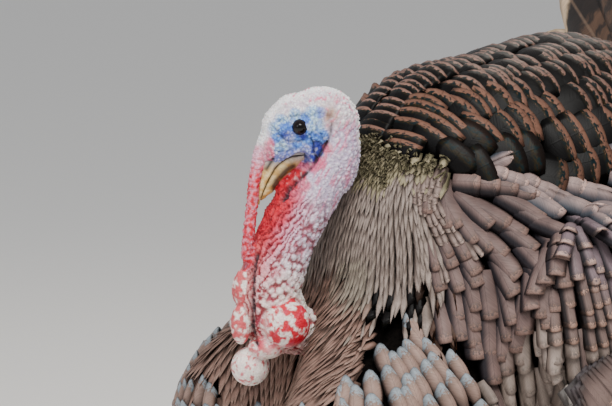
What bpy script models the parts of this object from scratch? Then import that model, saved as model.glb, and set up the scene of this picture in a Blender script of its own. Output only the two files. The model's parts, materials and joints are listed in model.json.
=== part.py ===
"""A life-size domestic turkey tom in full strut, as a still museum model.

The bird faces -X and stands on z = 0. Its breast is puffed into two lobes, its back is raised in a
hump, its wings droop to the ground and its tail is fanned. The bare head and neck are modelled in
their own frame, with the origin midway between the eyes, +X towards the nape and +Z up.
All sizes are in metres.
"""

import math
import random

import bmesh
import bpy
import numpy as np
from mathutils import Matrix, Vector

# The clearance that touching pieces keep
GAP = 0.0003

# Stance
EYE_HEIGHT = 0.625
HEAD_PLACE = Vector((-0.246, -0.016, EYE_HEIGHT))
HEAD_TURN = math.radians(-24)

# Torso
TORSO_CENTRE = Vector((-0.02, 0, 0.44))
TORSO_BLEND = 0.024
TORSO_MASSES = {
    # name: centre, radii
    "trunk": ((0.000, 0, 0.425), (0.220, 0.160, 0.165)),
    "hump": ((0.030, 0, 0.500), (0.205, 0.150, 0.190)),
    "mantle": ((-0.085, 0, 0.553), (0.103, 0.120, 0.113)),
    "ruff": ((-0.130, 0, 0.520), (0.080, 0.104, 0.100)),
    "collar_left": ((-0.205, -0.044, 0.430), (0.046, 0.042, 0.044)),
    "collar_right": ((-0.205, 0.044, 0.430), (0.046, 0.042, 0.044)),
    "side_left": ((-0.050, -0.070, 0.455), (0.130, 0.098, 0.130)),
    "side_right": ((-0.050, 0.070, 0.455), (0.130, 0.098, 0.130)),
    "lobe_left": ((-0.188, -0.084, 0.350), (0.110, 0.094, 0.108)),
    "lobe_right": ((-0.188, 0.084, 0.350), (0.110, 0.094, 0.108)),
    "keel": ((-0.130, 0, 0.325), (0.130, 0.085, 0.090)),
    "belly": ((0.030, 0, 0.320), (0.150, 0.135, 0.090)),
    "rump": ((0.150, 0, 0.480), (0.105, 0.112, 0.125)),
    "vent": ((0.165, 0, 0.410), (0.090, 0.105, 0.105)),
}
TORSO_FACES = 1200

# Tail fan
TAIL_ROOT = Vector((0.222, 0, 0.520))
TAIL_LEAN = math.radians(11)
TAIL_HUB_RADII = (0.052, 0.066, 0.060)
FAN_SPREAD = math.radians(190)
# Each tier of the fan: feathers, share of the spread, length, half width, depth behind the
# fan's own plane, and how far the tips curl back
FAN_TIERS = {
    "tail feathers": (18, 1.0, 0.375, 0.0365, 0.0, 0.018),
    "long coverts": (8, 0.87, 0.230, 0.0460, -0.0085, 0.004),
    "short coverts": (6, 0.76, 0.145, 0.0420, -0.0185, -0.004),
    "under coverts": (5, 0.66, 0.185, 0.0450, 0.0150, 0.026),
}
VANE_THICKNESS = 0.0009
# Neighbours in a tier lap like shingles: each one is tilted, and lies a step behind the last
LAP_SLOPE = 0.060
LAP_STEP = 0.0008

# Wing
WING_ELBOW = Vector((0.070, 0, 0.500))
WING_WRIST = Vector((-0.095, 0, 0.425))
WING_TIP_BONE = Vector((-0.082, 0, 0.300))
# The feathered arm of the right wing: centre, radii, segments, rings
WING_FORMS = {
    "shoulder": ((-0.012, 0.168, 0.480), (0.116, 0.034, 0.088), 12, 8),
    "hand": ((-0.092, 0.196, 0.360), (0.024, 0.016, 0.092), 8, 6),
    "forearm": ((-0.030, 0.194, 0.448), (0.088, 0.020, 0.036), 10, 6),
}
# Each tier of the wing: feathers, first and last share along the arm, share of the flight
# feathers' length, half width, and how far out it lies
WING_TIERS = {
    "flight feathers": (18, 0.0, 1.0, 1.0, 0.0240, 0.0),
    "long coverts": (7, 0.05, 0.95, 0.46, 0.0320, 0.0085),
    "short coverts": (5, 0.12, 0.90, 0.27, 0.0370, 0.0160),
}
# From the outermost to the innermost feather of a tier, the layers rise by this much
WING_LAYERS = 0.0144
# Each profile runs from the outermost primary, at 0, to the innermost secondary, at 1
FLIGHT_ANGLES = ((0.0, 10.0), (0.42, 36.0), (1.0, 78.0))
FLIGHT_LENGTHS = ((0.0, 0.284), (0.28, 0.325), (0.55, 0.268), (1.0, 0.140))

# Beard
BEARD_HEIGHT = 0.330
BEARD_LENGTH = 0.190
BEARD_ROOT_RADII = (0.013, 0.015, 0.010)
BEARD_LAYERS = ((-1, 3), (0, 4), (1, 3))
LOCK_HALF_WIDTH = 0.0027
LOCK_THICKNESS = 0.0014
LOCK_OUTLINE = ((0.0, 0.7), (0.18, 0.9), (0.42, 1.0), (0.72, 0.85), (1.0, 0.2))

# Right leg; the left one mirrors it
HIP = Vector((0.020, 0.080, 0.320))
HOCK = Vector((0.055, 0.080, 0.182))
FOOT = Vector((-0.008, 0.080, 0.000))
THIGH_RADII = ((0.0, 0.066), (0.35, 0.062), (0.75, 0.040), (0.93, 0.020), (1.0, 0.0140))
SHANK_RADII = ((0.0, 0.0128), (0.12, 0.0105), (0.45, 0.0078), (0.85, 0.0086), (1.0, 0.0105))
SCUTE_HEIGHT = 0.0018
HEEL_HEIGHT = 0.016
PAD_RADII = (0.015, 0.013, 0.0115)
# Each toe: turn from straight ahead, length, radius at its root
TOES = {
    "inner": (math.radians(-30), 0.074, 0.0072),
    "middle": (0.0, 0.098, 0.0078),
    "outer": (math.radians(30), 0.078, 0.0072),
    "hind": (math.radians(194), 0.036, 0.0058),
}
TOE_HEIGHT = 0.0068
CLAW_LENGTH = 0.0165
SPUR_PLACE = 0.66
SPUR_RADII = ((0.0, 0.0052), (0.6, 0.0036), (1.0, 0.0010))

# Random draws are seeded, so each run gives the same bird
SEED = 20


def material(name, colour, roughness, metallic=0.0):
    """A Principled BSDF with the piece's colour."""
    made = bpy.data.materials.new(name)
    made.use_nodes = True
    shader = made.node_tree.nodes["Principled BSDF"]
    shader.inputs["Base Color"].default_value = (*colour, 1.0)
    shader.inputs["Roughness"].default_value = roughness
    shader.inputs["Metallic"].default_value = metallic
    return made


def new_object(name, points, faces):
    """A mesh object with its faces turned outwards."""
    mesh = bpy.data.meshes.new(name)
    mesh.from_pydata([tuple(p) for p in points], [], faces)
    turned = bmesh.new()
    turned.from_mesh(mesh)
    bmesh.ops.recalc_face_normals(turned, faces=turned.faces)
    turned.to_mesh(mesh)
    turned.free()
    made = bpy.data.objects.new(name, mesh)
    bpy.context.scene.collection.objects.link(made)
    return made


def apply_modifiers(piece):
    """Bakes the piece's modifiers into its mesh."""
    bpy.context.view_layer.update()
    graph = bpy.context.evaluated_depsgraph_get()
    baked = bpy.data.meshes.new_from_object(piece.evaluated_get(graph))
    piece.modifiers.clear()
    piece.data = baked


def keep_largest(piece):
    """Keeps only the piece's largest closed surface."""
    shape = bmesh.new()
    shape.from_mesh(piece.data)
    unseen = set(shape.verts)
    groups = []
    while unseen:
        front = [unseen.pop()]
        group = set(front)
        while front:
            vertex = front.pop()
            for edge in vertex.link_edges:
                other = edge.other_vert(vertex)
                if other in unseen:
                    unseen.remove(other)
                    group.add(other)
                    front.append(other)
        groups.append(group)

    def reach(group):
        low = [min(v.co[axis] for v in group) for axis in range(3)]
        high = [max(v.co[axis] for v in group) for axis in range(3)]
        return (Vector(high) - Vector(low)).length

    largest = max(groups, key=reach)
    bmesh.ops.delete(shape, geom=[v for v in shape.verts if v not in largest], context="VERTS")
    shape.to_mesh(piece.data)
    shape.free()


def remove(pieces):
    for piece in pieces:
        bpy.data.objects.remove(piece)


def unite(name, pieces):
    """Joins closed meshes into one named piece by a Boolean union."""
    first, rest = pieces[0], pieces[1:]
    group = bpy.data.collections.new(name + "_parts")
    for piece in rest:
        group.objects.link(piece)
    union = first.modifiers.new("union", "BOOLEAN")
    union.operation = "UNION"
    union.solver = "MANIFOLD"
    union.operand_type = "COLLECTION"
    union.collection = group
    apply_modifiers(first)
    remove(rest)
    bpy.data.collections.remove(group)
    first.name = name
    keep_largest(first)
    return first


def swollen(piece, by):
    """A copy of the piece, pushed outwards along its normals."""
    bpy.context.view_layer.update()
    mesh = piece.data.copy()
    mesh.transform(piece.matrix_world)
    normals = [v.normal.copy() for v in mesh.vertices]
    for vertex, normal in zip(mesh.vertices, normals):
        vertex.co += normal * by
    made = bpy.data.objects.new(piece.name + "_swollen", mesh)
    bpy.context.scene.collection.objects.link(made)
    return made


def cut_away(piece, cutter):
    """Takes the cutter's shape out of the piece, and removes the cutter."""
    cut = piece.modifiers.new("cut", "BOOLEAN")
    cut.operation = "DIFFERENCE"
    cut.solver = "MANIFOLD"
    cut.object = cutter
    apply_modifiers(piece)
    remove([cutter])


def clear_of(piece, neighbours, gap=GAP):
    """Cuts the piece back from each neighbour, so that they meet face to face with a gap."""
    for neighbour in neighbours:
        cut_away(piece, swollen(neighbour, gap))
    keep_largest(piece)


def ellipsoid(name, centre, radii, segments=16, rings=10, turn=None):
    """A closed ellipsoid; turn is a matrix about its centre."""
    shape = bmesh.new()
    bmesh.ops.create_uvsphere(shape, u_segments=segments, v_segments=rings, radius=1.0)
    place = Matrix.Translation(centre) @ (turn or Matrix.Identity(4)) @ Matrix.Diagonal((*radii, 1))
    bmesh.ops.transform(shape, matrix=place, verts=shape.verts)
    mesh = bpy.data.meshes.new(name)
    bmesh.ops.triangulate(shape, faces=shape.faces)
    shape.to_mesh(mesh)
    shape.free()
    made = bpy.data.objects.new(name, mesh)
    bpy.context.scene.collection.objects.link(made)
    return made


def bulb(centre, radius, stretch=(1, 1, 1)):
    """A small rounded swelling of few faces."""
    shape = bmesh.new()
    bmesh.ops.create_icosphere(shape, subdivisions=2, radius=radius)
    place = Matrix.Translation(centre) @ Matrix.Diagonal((*stretch, 1))
    bmesh.ops.transform(shape, matrix=place, verts=shape.verts)
    mesh = bpy.data.meshes.new("bulb")
    shape.to_mesh(mesh)
    shape.free()
    made = bpy.data.objects.new("bulb", mesh)
    bpy.context.scene.collection.objects.link(made)
    return made


def smooth_least(first, second, blend):
    """The lower of two fields, rounded over where they meet."""
    share = np.clip(0.5 + 0.5 * (second - first) / blend, 0, 1)
    return second + (first - second) * share - blend * share * (1 - share)


def mass_field(points, masses, blend):
    """Below 0 inside the blended ellipsoids and above 0 outside."""
    field = None
    for centre, radii in masses.values():
        offset = points - np.array(centre)
        scaled = np.linalg.norm(offset / np.array(radii), axis=1)
        slope = np.linalg.norm(offset / np.array(radii) ** 2, axis=1) + 1e-9
        distance = scaled * (scaled - 1) / slope
        field = distance if field is None else smooth_least(field, distance, blend)
    return field


def blended_body(name, masses, centre, blend, subdivisions, reach):
    """A closed skin over blended ellipsoids, found by rays from a centre inside them."""
    shape = bmesh.new()
    bmesh.ops.create_icosphere(shape, subdivisions=subdivisions, radius=1.0)
    rays = np.array([v.co for v in shape.verts])
    near, far = np.zeros(len(rays)), np.full(len(rays), reach)
    for _ in range(26):
        middle = (near + far) / 2
        inside = mass_field(np.array(centre) + rays * middle[:, None], masses, blend) < 0
        near, far = np.where(inside, middle, near), np.where(inside, far, middle)
    for vertex, distance in zip(shape.verts, near):
        vertex.co = Vector(centre) + vertex.co * float(distance)
    mesh = bpy.data.meshes.new(name)
    shape.to_mesh(mesh)
    shape.free()
    made = bpy.data.objects.new(name, mesh)
    bpy.context.scene.collection.objects.link(made)
    return made


def thin_out(piece, faces):
    """Lowers the piece's count of triangles to about this many."""
    thinner = piece.modifiers.new("thinner", "DECIMATE")
    thinner.ratio = min(1.0, faces / max(1, sum(len(p.vertices) - 2 for p in piece.data.polygons)))
    apply_modifiers(piece)


def lofted(name, rings):
    """A closed skin through rings of equal count, with a flat cap at each end."""
    count = len(rings[0])
    points = [p for ring in rings for p in ring]
    faces = []
    for level in range(len(rings) - 1):
        for side in range(count):
            a = level * count + side
            b = level * count + (side + 1) % count
            faces += [(a, b, b + count), (a, b + count, a + count)]
    last = (len(rings) - 1) * count
    faces += [(0, side + 1, side) for side in range(1, count - 1)]
    faces += [(last, last + side, last + side + 1) for side in range(1, count - 1)]
    return new_object(name, points, faces)


def ring_about(centre, along, across, half_across, half_up, sides):
    """Points of an ellipse round a centre, square to the direction along."""
    across = (across - along * across.dot(along)).normalized()
    up = along.cross(across).normalized()
    angles = [2 * math.pi * k / sides for k in range(sides)]
    return [
        centre + across * (half_across * math.cos(a)) + up * (half_up * math.sin(a))
        for a in angles
    ]


def curve_point(points, share):
    """A point on the smooth curve through the given points, from 0 to 1."""
    spans = len(points) - 1
    place = min(max(share, 0.0), 1.0) * spans
    index = min(int(place), spans - 1)
    t = place - index
    p1, p2 = Vector(points[index]), Vector(points[index + 1])
    p0 = Vector(points[index - 1]) if index > 0 else p1 * 2 - p2
    p3 = Vector(points[index + 2]) if index + 2 <= spans else p2 * 2 - p1
    return 0.5 * (
        2 * p1
        + (p2 - p0) * t
        + (2 * p0 - 5 * p1 + 4 * p2 - p3) * t**2
        + (3 * p1 - p0 - 3 * p2 + p3) * t**3
    )


def value_at(stops, share):
    """Reads a smooth profile, given as (share, value) stops."""
    for (low, first), (high, second) in zip(stops, stops[1:]):
        if share <= high:
            t = (share - low) / (high - low)
            t = max(0.0, min(1.0, t))
            return first + (second - first) * t * t * (3 - 2 * t)
    return stops[-1][1]


def tube(name, spine, widths, depths, across, rings, sides):
    """A bent tube with an elliptical section that follows two profiles."""
    made = []
    for level in range(rings):
        share = level / (rings - 1)
        centre = curve_point(spine, share)
        ahead = curve_point(spine, min(1.0, share + 0.02))
        behind = curve_point(spine, max(0.0, share - 0.02))
        along = (ahead - behind).normalized()
        made.append(
            ring_about(centre, along, across, value_at(widths, share), value_at(depths, share), sides)
        )
    return lofted(name, made)


def strip(stations, thickness):
    """A thin closed vane or lock. Each station is its centre, a vector to its edge and its normal."""
    points = []
    for centre, edge, normal in stations:
        lift = normal * (thickness / 2)
        points += [centre - edge + lift, centre + edge + lift, centre + edge - lift, centre - edge - lift]
    faces = [(0, 1, 2), (0, 2, 3)]
    for level in range(len(stations) - 1):
        a, b = level * 4, level * 4 + 4
        # both broad faces are split along the same diagonal, so they never cross where the vane bends
        faces += [(a, a + 1, b + 1), (a, b + 1, b)]
        faces += [(a + 3, a + 2, b + 2), (a + 3, b + 2, b + 3)]
        faces += [(a + 1, a + 2, b + 2), (a + 1, b + 2, b + 1)]
        faces += [(a, a + 3, b + 3), (a, b + 3, b)]
    end = (len(stations) - 1) * 4
    faces += [(end, end + 1, end + 2), (end, end + 2, end + 3)]
    return new_object("strip", points, faces)


# The half width of a vane along its length, as shares of the widest
FLIGHT_OUTLINE = ((0.0, 0.30), (0.42, 0.72), (0.82, 1.0), (0.96, 0.74), (1.0, 0.32))
COVERT_OUTLINE = ((0.0, 0.45), (0.55, 1.0), (0.88, 0.80), (1.0, 0.30))


def vane(root, along, normal, length, half_width, tilt, bend, outline):
    """A feather as a thin vane. Tilt raises one edge, so that neighbours lap; bend curls the tip back."""
    side = along.cross(normal).normalized()
    stations = []
    for share, width in outline:
        centre = root + along * (length * share) + normal * (bend * share * share)
        edge = (side + normal * tilt).normalized() * (half_width * width)
        stations.append((centre, edge, normal))
    return strip(stations, VANE_THICKNESS)


def make_torso():
    """Trunk, hump, ruff and breast lobes, out to the tips of the body feathers."""
    torso = blended_body("torso", TORSO_MASSES, TORSO_CENTRE, TORSO_BLEND, 5, 0.6)
    thin_out(torso, TORSO_FACES)
    return torso


def fan_tier(name):
    """One tier of the tail fan."""
    count, share, length, half_width, depth, bend = FAN_TIERS[name]
    outline = FLIGHT_OUTLINE if name == "tail feathers" else COVERT_OUTLINE
    up = Vector((math.sin(TAIL_LEAN), 0, math.cos(TAIL_LEAN)))
    back = Vector((math.cos(TAIL_LEAN), 0, -math.sin(TAIL_LEAN)))
    vanes = []
    for index in range(count):
        place = index - (count - 1) / 2
        angle = place / count * FAN_SPREAD * share
        outward = up * math.cos(angle) + Vector((0, 1, 0)) * math.sin(angle)
        # the middle pair lies in front, and one of the two before the other
        behind = LAP_STEP * (abs(place) + (1.5 if place < 0 else 0.0))
        shorter = 1 - 0.07 * (2 * place / count) ** 2
        root = TAIL_ROOT + outward * 0.02 + back * (depth + behind)
        tilt = math.copysign(LAP_SLOPE, place)
        vanes.append(vane(root, outward, back, length * shorter, half_width, tilt, bend, outline))
    return vanes


def make_tail():
    """The fan of tail feathers, with two tiers of coverts before it and one behind."""
    pieces = [ellipsoid("hub", TAIL_ROOT, TAIL_HUB_RADII, 10, 7)]
    for name in FAN_TIERS:
        pieces += fan_tier(name)
    return unite("tail", pieces)


def wing_surface(x, z):
    """How far out from the middle plane the closed wing's flight feathers lie."""
    flare = 0.026 * max(0.0, 0.42 - z) / 0.42
    return 0.190 + flare - 0.22 * max(0.0, z - 0.42) - 0.9 * max(0.0, x - 0.08) ** 2


def wing_vane(root, angle, length, half_width, out, side, outline):
    """A feather of the closed wing. The angle is from straight down, towards the tail."""
    stations = []
    outwards = Vector((0, side, 0))
    across = Vector((math.cos(angle), 0, math.sin(angle)))
    for share, width in outline:
        x = root.x + math.sin(angle) * length * share
        z = root.z - math.cos(angle) * length * share
        centre = Vector((x, side * (wing_surface(x, z) + out), z))
        edge = (across - outwards * LAP_SLOPE).normalized() * (half_width * width)
        stations.append((centre, edge, outwards))
    return strip(stations, VANE_THICKNESS)


def arm_point(share):
    """A point on the wing's arm: 0 at the tip of the hand, 0.4 at the wrist and 1 at the elbow."""
    if share < 0.4:
        return WING_TIP_BONE.lerp(WING_WRIST, share / 0.4)
    return WING_WRIST.lerp(WING_ELBOW, (share - 0.4) / 0.6)


def wing_tier(name, side):
    """One tier of wing feathers."""
    count, first, last, length_share, half_width, out = WING_TIERS[name]
    outline = FLIGHT_OUTLINE if name == "flight feathers" else COVERT_OUTLINE
    vanes = []
    for index in range(count):
        t = first + (last - first) * index / (count - 1)
        angle = math.radians(value_at(FLIGHT_ANGLES, t))
        length = value_at(FLIGHT_LENGTHS, t) * length_share
        # the inner feathers lie over the outer ones
        lift = out + WING_LAYERS * t
        vanes.append(wing_vane(arm_point(t), angle, length, half_width, lift, side, outline))
    return vanes


def make_wing(name, side):
    """A drooped wing: the feathered arm, flight feathers and two tiers of coverts."""
    pieces = []
    for name_of_form, (centre, radii, segments, rings) in WING_FORMS.items():
        place = Vector(centre) * Vector((1, side, 1))
        pieces.append(ellipsoid(name_of_form, place, radii, segments, rings))
    for tier in WING_TIERS:
        pieces += wing_tier(tier, side)
    return unite(name, pieces)


# Head, in its own frame
HEAD_BLEND = 0.008
HEAD_CENTRE = (0.008, 0, -0.018)
HEAD_MASSES = {
    "cranium": ((0.013, 0, 0.001), (0.0375, 0.0225, 0.0325)),
    "brow": ((-0.012, 0, 0.003), (0.0230, 0.0185, 0.0240)),
    "nape": ((0.028, 0, -0.022), (0.0225, 0.0225, 0.0400)),
    "cheek": ((0.004, 0, -0.018), (0.0200, 0.0190, 0.0180)),
    "lore": ((-0.017, 0, -0.017), (0.0175, 0.0145, 0.0165)),
    "jaw": ((0.001, 0, -0.037), (0.0170, 0.0130, 0.0130)),
    "chin": ((-0.010, 0, -0.049), (0.0090, 0.0095, 0.0115)),
}
HEAD_FACES = 600
EYE_SIDE = 0.0160
EYE_RADIUS = 0.0070
EYE_OPENING = (0.0060, 0.0080, 0.0046)
OPENING_OUT = 0.0085
LID_REACH = 0.0070
LID_OUT = 0.0042
LID_THICKNESS = 0.0016
EAR = Vector((0.0235, 0.0220, 0.010))
EAR_RADII = (0.0038, 0.0036, 0.0052)
NOSTRIL = Vector((-0.0237, 0.0125, -0.0300))
NOSTRIL_RADII = (0.0016, 0.0044, 0.0046)

# The plane where head and neck meet, behind the jaw
NECK_CUT = Vector((0.012, 0, -0.046))
NECK_CUT_NORMAL = Vector((-0.48, 0, 0.88)).normalized()

# The neck's middle line in the head's frame, from the skull to inside the cleft of the breast
NECK_SPINE = (
    (0.026, 0, -0.022),
    (0.015, 0, -0.052),
    (-0.004, 0, -0.085),
    (-0.019, 0, -0.120),
    (-0.024, 0.002, -0.150),
    (-0.014, 0.009, -0.178),
    (0.010, 0.020, -0.198),
    (0.044, 0.036, -0.208),
)
NECK_DEPTHS = ((0.0, 0.0235), (0.3, 0.0240), (0.45, 0.0255), (0.62, 0.0290), (0.8, 0.0260), (1.0, 0.0220))
NECK_WIDTHS = ((0.0, 0.0215), (0.3, 0.0235), (0.45, 0.0260), (0.62, 0.0290), (0.8, 0.0260), (1.0, 0.0220))
NECK_FOLDS = 5
FOLD_HEIGHT = 0.12
BEADS_IN_ROW = 6
THROAT = Vector((-0.0235, 0, -0.0820))
THROAT_RADII = (0.0080, 0.0050, 0.0360)
THROAT_LEAN = 0.36
# The big caruncles at the foot of the neck: centre, radius, stretch
CARUNCLES = (
    ((-0.012, -0.019, -0.161), 0.0200, (1.0, 0.9, 1.05)),
    ((-0.012, 0.020, -0.164), 0.0185, (1.0, 0.9, 1.0)),
    ((-0.0405, -0.002, -0.203), 0.0168, (1.0, 1.0, 1.03)),
    ((-0.028, -0.012, -0.186), 0.0120, (1.3, 1.1, 0.8)),
    ((-0.028, 0.013, -0.187), 0.0115, (1.2, 1.1, 0.9)),
    ((-0.047, 0.011, -0.140), 0.0095, (0.9, 0.9, 1.6)),
    ((-0.049, 0.011, -0.168), 0.0100, (0.9, 0.9, 1.6)),
    ((-0.041, -0.014, -0.142), 0.0100, (0.9, 0.9, 1.7)),
    ((-0.041, -0.014, -0.172), 0.0100, (0.9, 0.9, 1.4)),
)

MOUTH_CORNER = Vector((0.0047, 0, -0.0240))
MOUTH_BEND = Vector((-0.0190, 0, -0.0265))
MOUTH_TIP = Vector((-0.0315, 0, -0.0665))
MOUTH_OPENING = 0.0011
# Height and half width of each half of the bill, at shares of the mouth line
UPPER_HEIGHTS = ((0.15, 0.0120), (0.5, 0.0135), (0.78, 0.0105), (0.93, 0.0055), (1.0, 0.0016))
UPPER_HALVES = ((0.15, 0.0100), (0.5, 0.0082), (0.8, 0.0052), (1.0, 0.0016))
LOWER_HEIGHTS = ((0.1, 0.0100), (0.5, 0.0085), (0.82, 0.0055), (0.94, 0.0014))
LOWER_HALVES = ((0.1, 0.0092), (0.5, 0.0070), (0.82, 0.0045), (0.94, 0.0018))


def mouth_point(share):
    """A point on the line of the mouth, from the corner to the tip of the bill."""
    a, b, c = MOUTH_CORNER, MOUTH_BEND, MOUTH_TIP
    return a * (1 - share) ** 2 + b * (2 * share * (1 - share)) + c * share**2


def mouth_frame(share):
    """The mouth line's point, the way along it and the way up from it."""
    along = (mouth_point(min(1, share + 0.02)) - mouth_point(max(0, share - 0.02))).normalized()
    return mouth_point(share), along, Vector((along.z, 0, -along.x))


def bill_half(name, sign, heights, half_widths):
    """The upper or lower bill: a horn with a flat face along the mouth and a rounded back."""
    rings, sides = 9, 7
    first, last = heights[0][0], heights[-1][0]
    made = []
    for level in range(rings):
        share = first + (last - first) * level / (rings - 1)
        point, _, up = mouth_frame(share)
        up = up * sign
        height, half = value_at(heights, share), value_at(half_widths, share)
        base = point + up * (MOUTH_OPENING / 2)
        ring = []
        for k in range(sides):
            angle = math.pi * k / (sides - 1)
            across = Vector((0, math.cos(angle) * half, 0))
            ring.append(base + across + up * (math.sin(angle) * height))
        made.append(ring)
    return lofted(name, made)


def eye_lid(side):
    """A rounded ring of skin round the eye."""
    ring_sides, tube_sides = 10, 5
    points = []
    for k in range(ring_sides):
        turn = 2 * math.pi * k / ring_sides
        for j in range(tube_sides):
            bend = 2 * math.pi * j / tube_sides
            reach = LID_REACH + LID_THICKNESS * math.cos(bend)
            out = EYE_SIDE + LID_OUT + LID_THICKNESS * math.sin(bend)
            points.append((reach * math.cos(turn) * 1.10, side * out, reach * math.sin(turn) * 0.86))
    faces = []
    for k in range(ring_sides):
        for j in range(tube_sides):
            a, b = k * tube_sides + j, k * tube_sides + (j + 1) % tube_sides
            shift = tube_sides if k < ring_sides - 1 else -k * tube_sides
            faces += [(a, b, b + shift), (a, b + shift, a + shift)]
    return new_object("lid", points, faces)


def mouth_slit():
    """The gap of the closed mouth, from its corner to past the tip of the bill."""
    rings = []
    for level in range(6):
        point, _, up = mouth_frame(level / 5)
        corners = ((0.03, MOUTH_OPENING / 2), (-0.03, MOUTH_OPENING / 2), (-0.03, -MOUTH_OPENING / 2))
        corners += ((0.03, -MOUTH_OPENING / 2),)
        rings.append([point + Vector((0, y, 0)) + up * rise for y, rise in corners])
    return lofted("slit", rings)


def make_head():
    """The bare head, with its lids, ear cups, nostrils and the line of the mouth."""
    head = blended_body("head", HEAD_MASSES, HEAD_CENTRE, HEAD_BLEND, 4, 0.09)
    thin_out(head, HEAD_FACES)
    head = unite("head", [head, eye_lid(-1), eye_lid(1)])
    cut_away(head, mouth_slit())
    slant = Matrix.Rotation(math.radians(-24), 4, "Y")
    for side in (-1, 1):
        cut_away(head, ellipsoid("ear", EAR * Vector((1, side, 1)), EAR_RADII, 8, 6))
        cut_away(head, ellipsoid("nostril", NOSTRIL * Vector((1, side, 1)), NOSTRIL_RADII, 8, 6, slant))
    keep_largest(head)
    return head


def trim_by_plane(piece, point, normal, keep_above):
    """Keeps the piece's share above or below a plane."""
    size = 0.5
    direction = normal if keep_above else -normal
    turn = direction.to_track_quat("Z", "X").to_matrix().to_4x4()
    shape = bmesh.new()
    bmesh.ops.create_cube(shape, size=size)
    place = Matrix.Translation(Vector(point) - direction * (size / 2)) @ turn
    bmesh.ops.transform(shape, matrix=place, verts=shape.verts)
    mesh = bpy.data.meshes.new("block")
    shape.to_mesh(mesh)
    shape.free()
    block = bpy.data.objects.new("block", mesh)
    bpy.context.scene.collection.objects.link(block)
    cut_away(piece, block)
    keep_largest(piece)


def neck_tube():
    """The neck with its long folds of skin, which run down and forwards."""
    rings_count, sides = 14, 20
    rings = []
    for level in range(rings_count):
        share = level / (rings_count - 1)
        centre = curve_point(NECK_SPINE, share)
        ahead, behind = min(1, share + 0.03), max(0, share - 0.03)
        along = curve_point(NECK_SPINE, ahead) - curve_point(NECK_SPINE, behind)
        depth, width = value_at(NECK_DEPTHS, share), value_at(NECK_WIDTHS, share)
        ring = ring_about(centre, along.normalized(), Vector((1, 0, 0)), depth, width, sides)
        for k, point in enumerate(ring):
            wave = math.cos(2 * math.pi * (k / sides * NECK_FOLDS + 1.2 * share))
            fold = FOLD_HEIGHT * wave * math.sin(math.pi * share)
            ring[k] = centre + (point - centre) * (1 + fold)
        rings.append(ring)
    return lofted("neck", rings)


def make_neck():
    """The bare neck, with its skin folds, rows of beads and big caruncles."""
    draw = random.Random(SEED)
    pieces = [neck_tube()]
    lean = Matrix.Rotation(THROAT_LEAN, 4, "Y")
    pieces.append(ellipsoid("throat", THROAT, THROAT_RADII, 10, 8, lean))
    pieces.append(ellipsoid("nape", *HEAD_MASSES["nape"], 12, 8))
    # beads down the nape, in two rows
    for row, sideways in enumerate((-0.45, 0.45)):
        for step in range(BEADS_IN_ROW):
            share = 0.16 + 0.072 * step + 0.036 * row
            centre = curve_point(NECK_SPINE, share)
            along = curve_point(NECK_SPINE, share + 0.02) - curve_point(NECK_SPINE, share - 0.02)
            back = Vector((-along.z, 0, along.x)).normalized()
            out = back * math.cos(sideways) + Vector((0, math.sin(sideways), 0))
            size = 0.0070 + 0.0050 * share + draw.uniform(-0.0005, 0.0005)
            spot = centre + out * value_at(NECK_DEPTHS, share)
            pieces.append(ellipsoid("bead", spot, (size,) * 3, 7, 5))
    for spot, radius, stretch in CARUNCLES:
        pieces.append(bulb(Vector(spot), radius, stretch))
    return unite("neck", pieces)


SNOOD_SPINE = (
    (-0.026, 0, -0.008),
    (-0.0345, -0.001, -0.020),
    (-0.0395, -0.004, -0.042),
    (-0.0430, -0.006, -0.068),
    (-0.0465, -0.007, -0.094),
    (-0.0480, -0.007, -0.115),
)
SNOOD_RADII = ((0.0, 0.0065), (0.3, 0.0056), (0.75, 0.0058), (0.93, 0.0048), (1.0, 0.0022))


def make_head_group(torso):
    """Head, neck, snood, bill and eyes, each clear of what it grows from."""
    group = bpy.data.objects.new("head_place", None)
    group.location = HEAD_PLACE
    group.rotation_euler = (0, 0, HEAD_TURN)
    bpy.context.scene.collection.objects.link(group)

    head = make_head()
    neck = make_neck()
    trim_by_plane(head, NECK_CUT, NECK_CUT_NORMAL, True)
    trim_by_plane(neck, NECK_CUT - NECK_CUT_NORMAL * GAP, NECK_CUT_NORMAL, False)

    eyes = []
    for name, side in (("eye_left", -1), ("eye_right", 1)):
        spot = Vector((0, side * EYE_SIDE, 0))
        cut_away(head, ellipsoid("socket", spot, (EYE_RADIUS + GAP,) * 3, 12, 8))
        opening = Vector((0, side * (EYE_SIDE + OPENING_OUT), 0))
        cut_away(head, ellipsoid("opening", opening, EYE_OPENING, 12, 8))
        eyes.append(ellipsoid(name, spot, (EYE_RADIUS,) * 3, 12, 8))
    keep_largest(head)

    upper = bill_half("bill_upper", 1, UPPER_HEIGHTS, UPPER_HALVES)
    lower = bill_half("bill_lower", -1, LOWER_HEIGHTS, LOWER_HALVES)
    snood = tube("snood", SNOOD_SPINE, SNOOD_RADII, SNOOD_RADII, Vector((0, 1, 0)), 11, 8)

    pieces = [head, neck, upper, lower, snood, *eyes]
    for piece in pieces:
        piece.parent = group
    bpy.context.view_layer.update()
    clear_of(upper, [head])
    clear_of(lower, [head, neck])
    clear_of(snood, [head, upper])
    clear_of(neck, [torso])
    clear_of(head, [torso])
    return pieces


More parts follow.
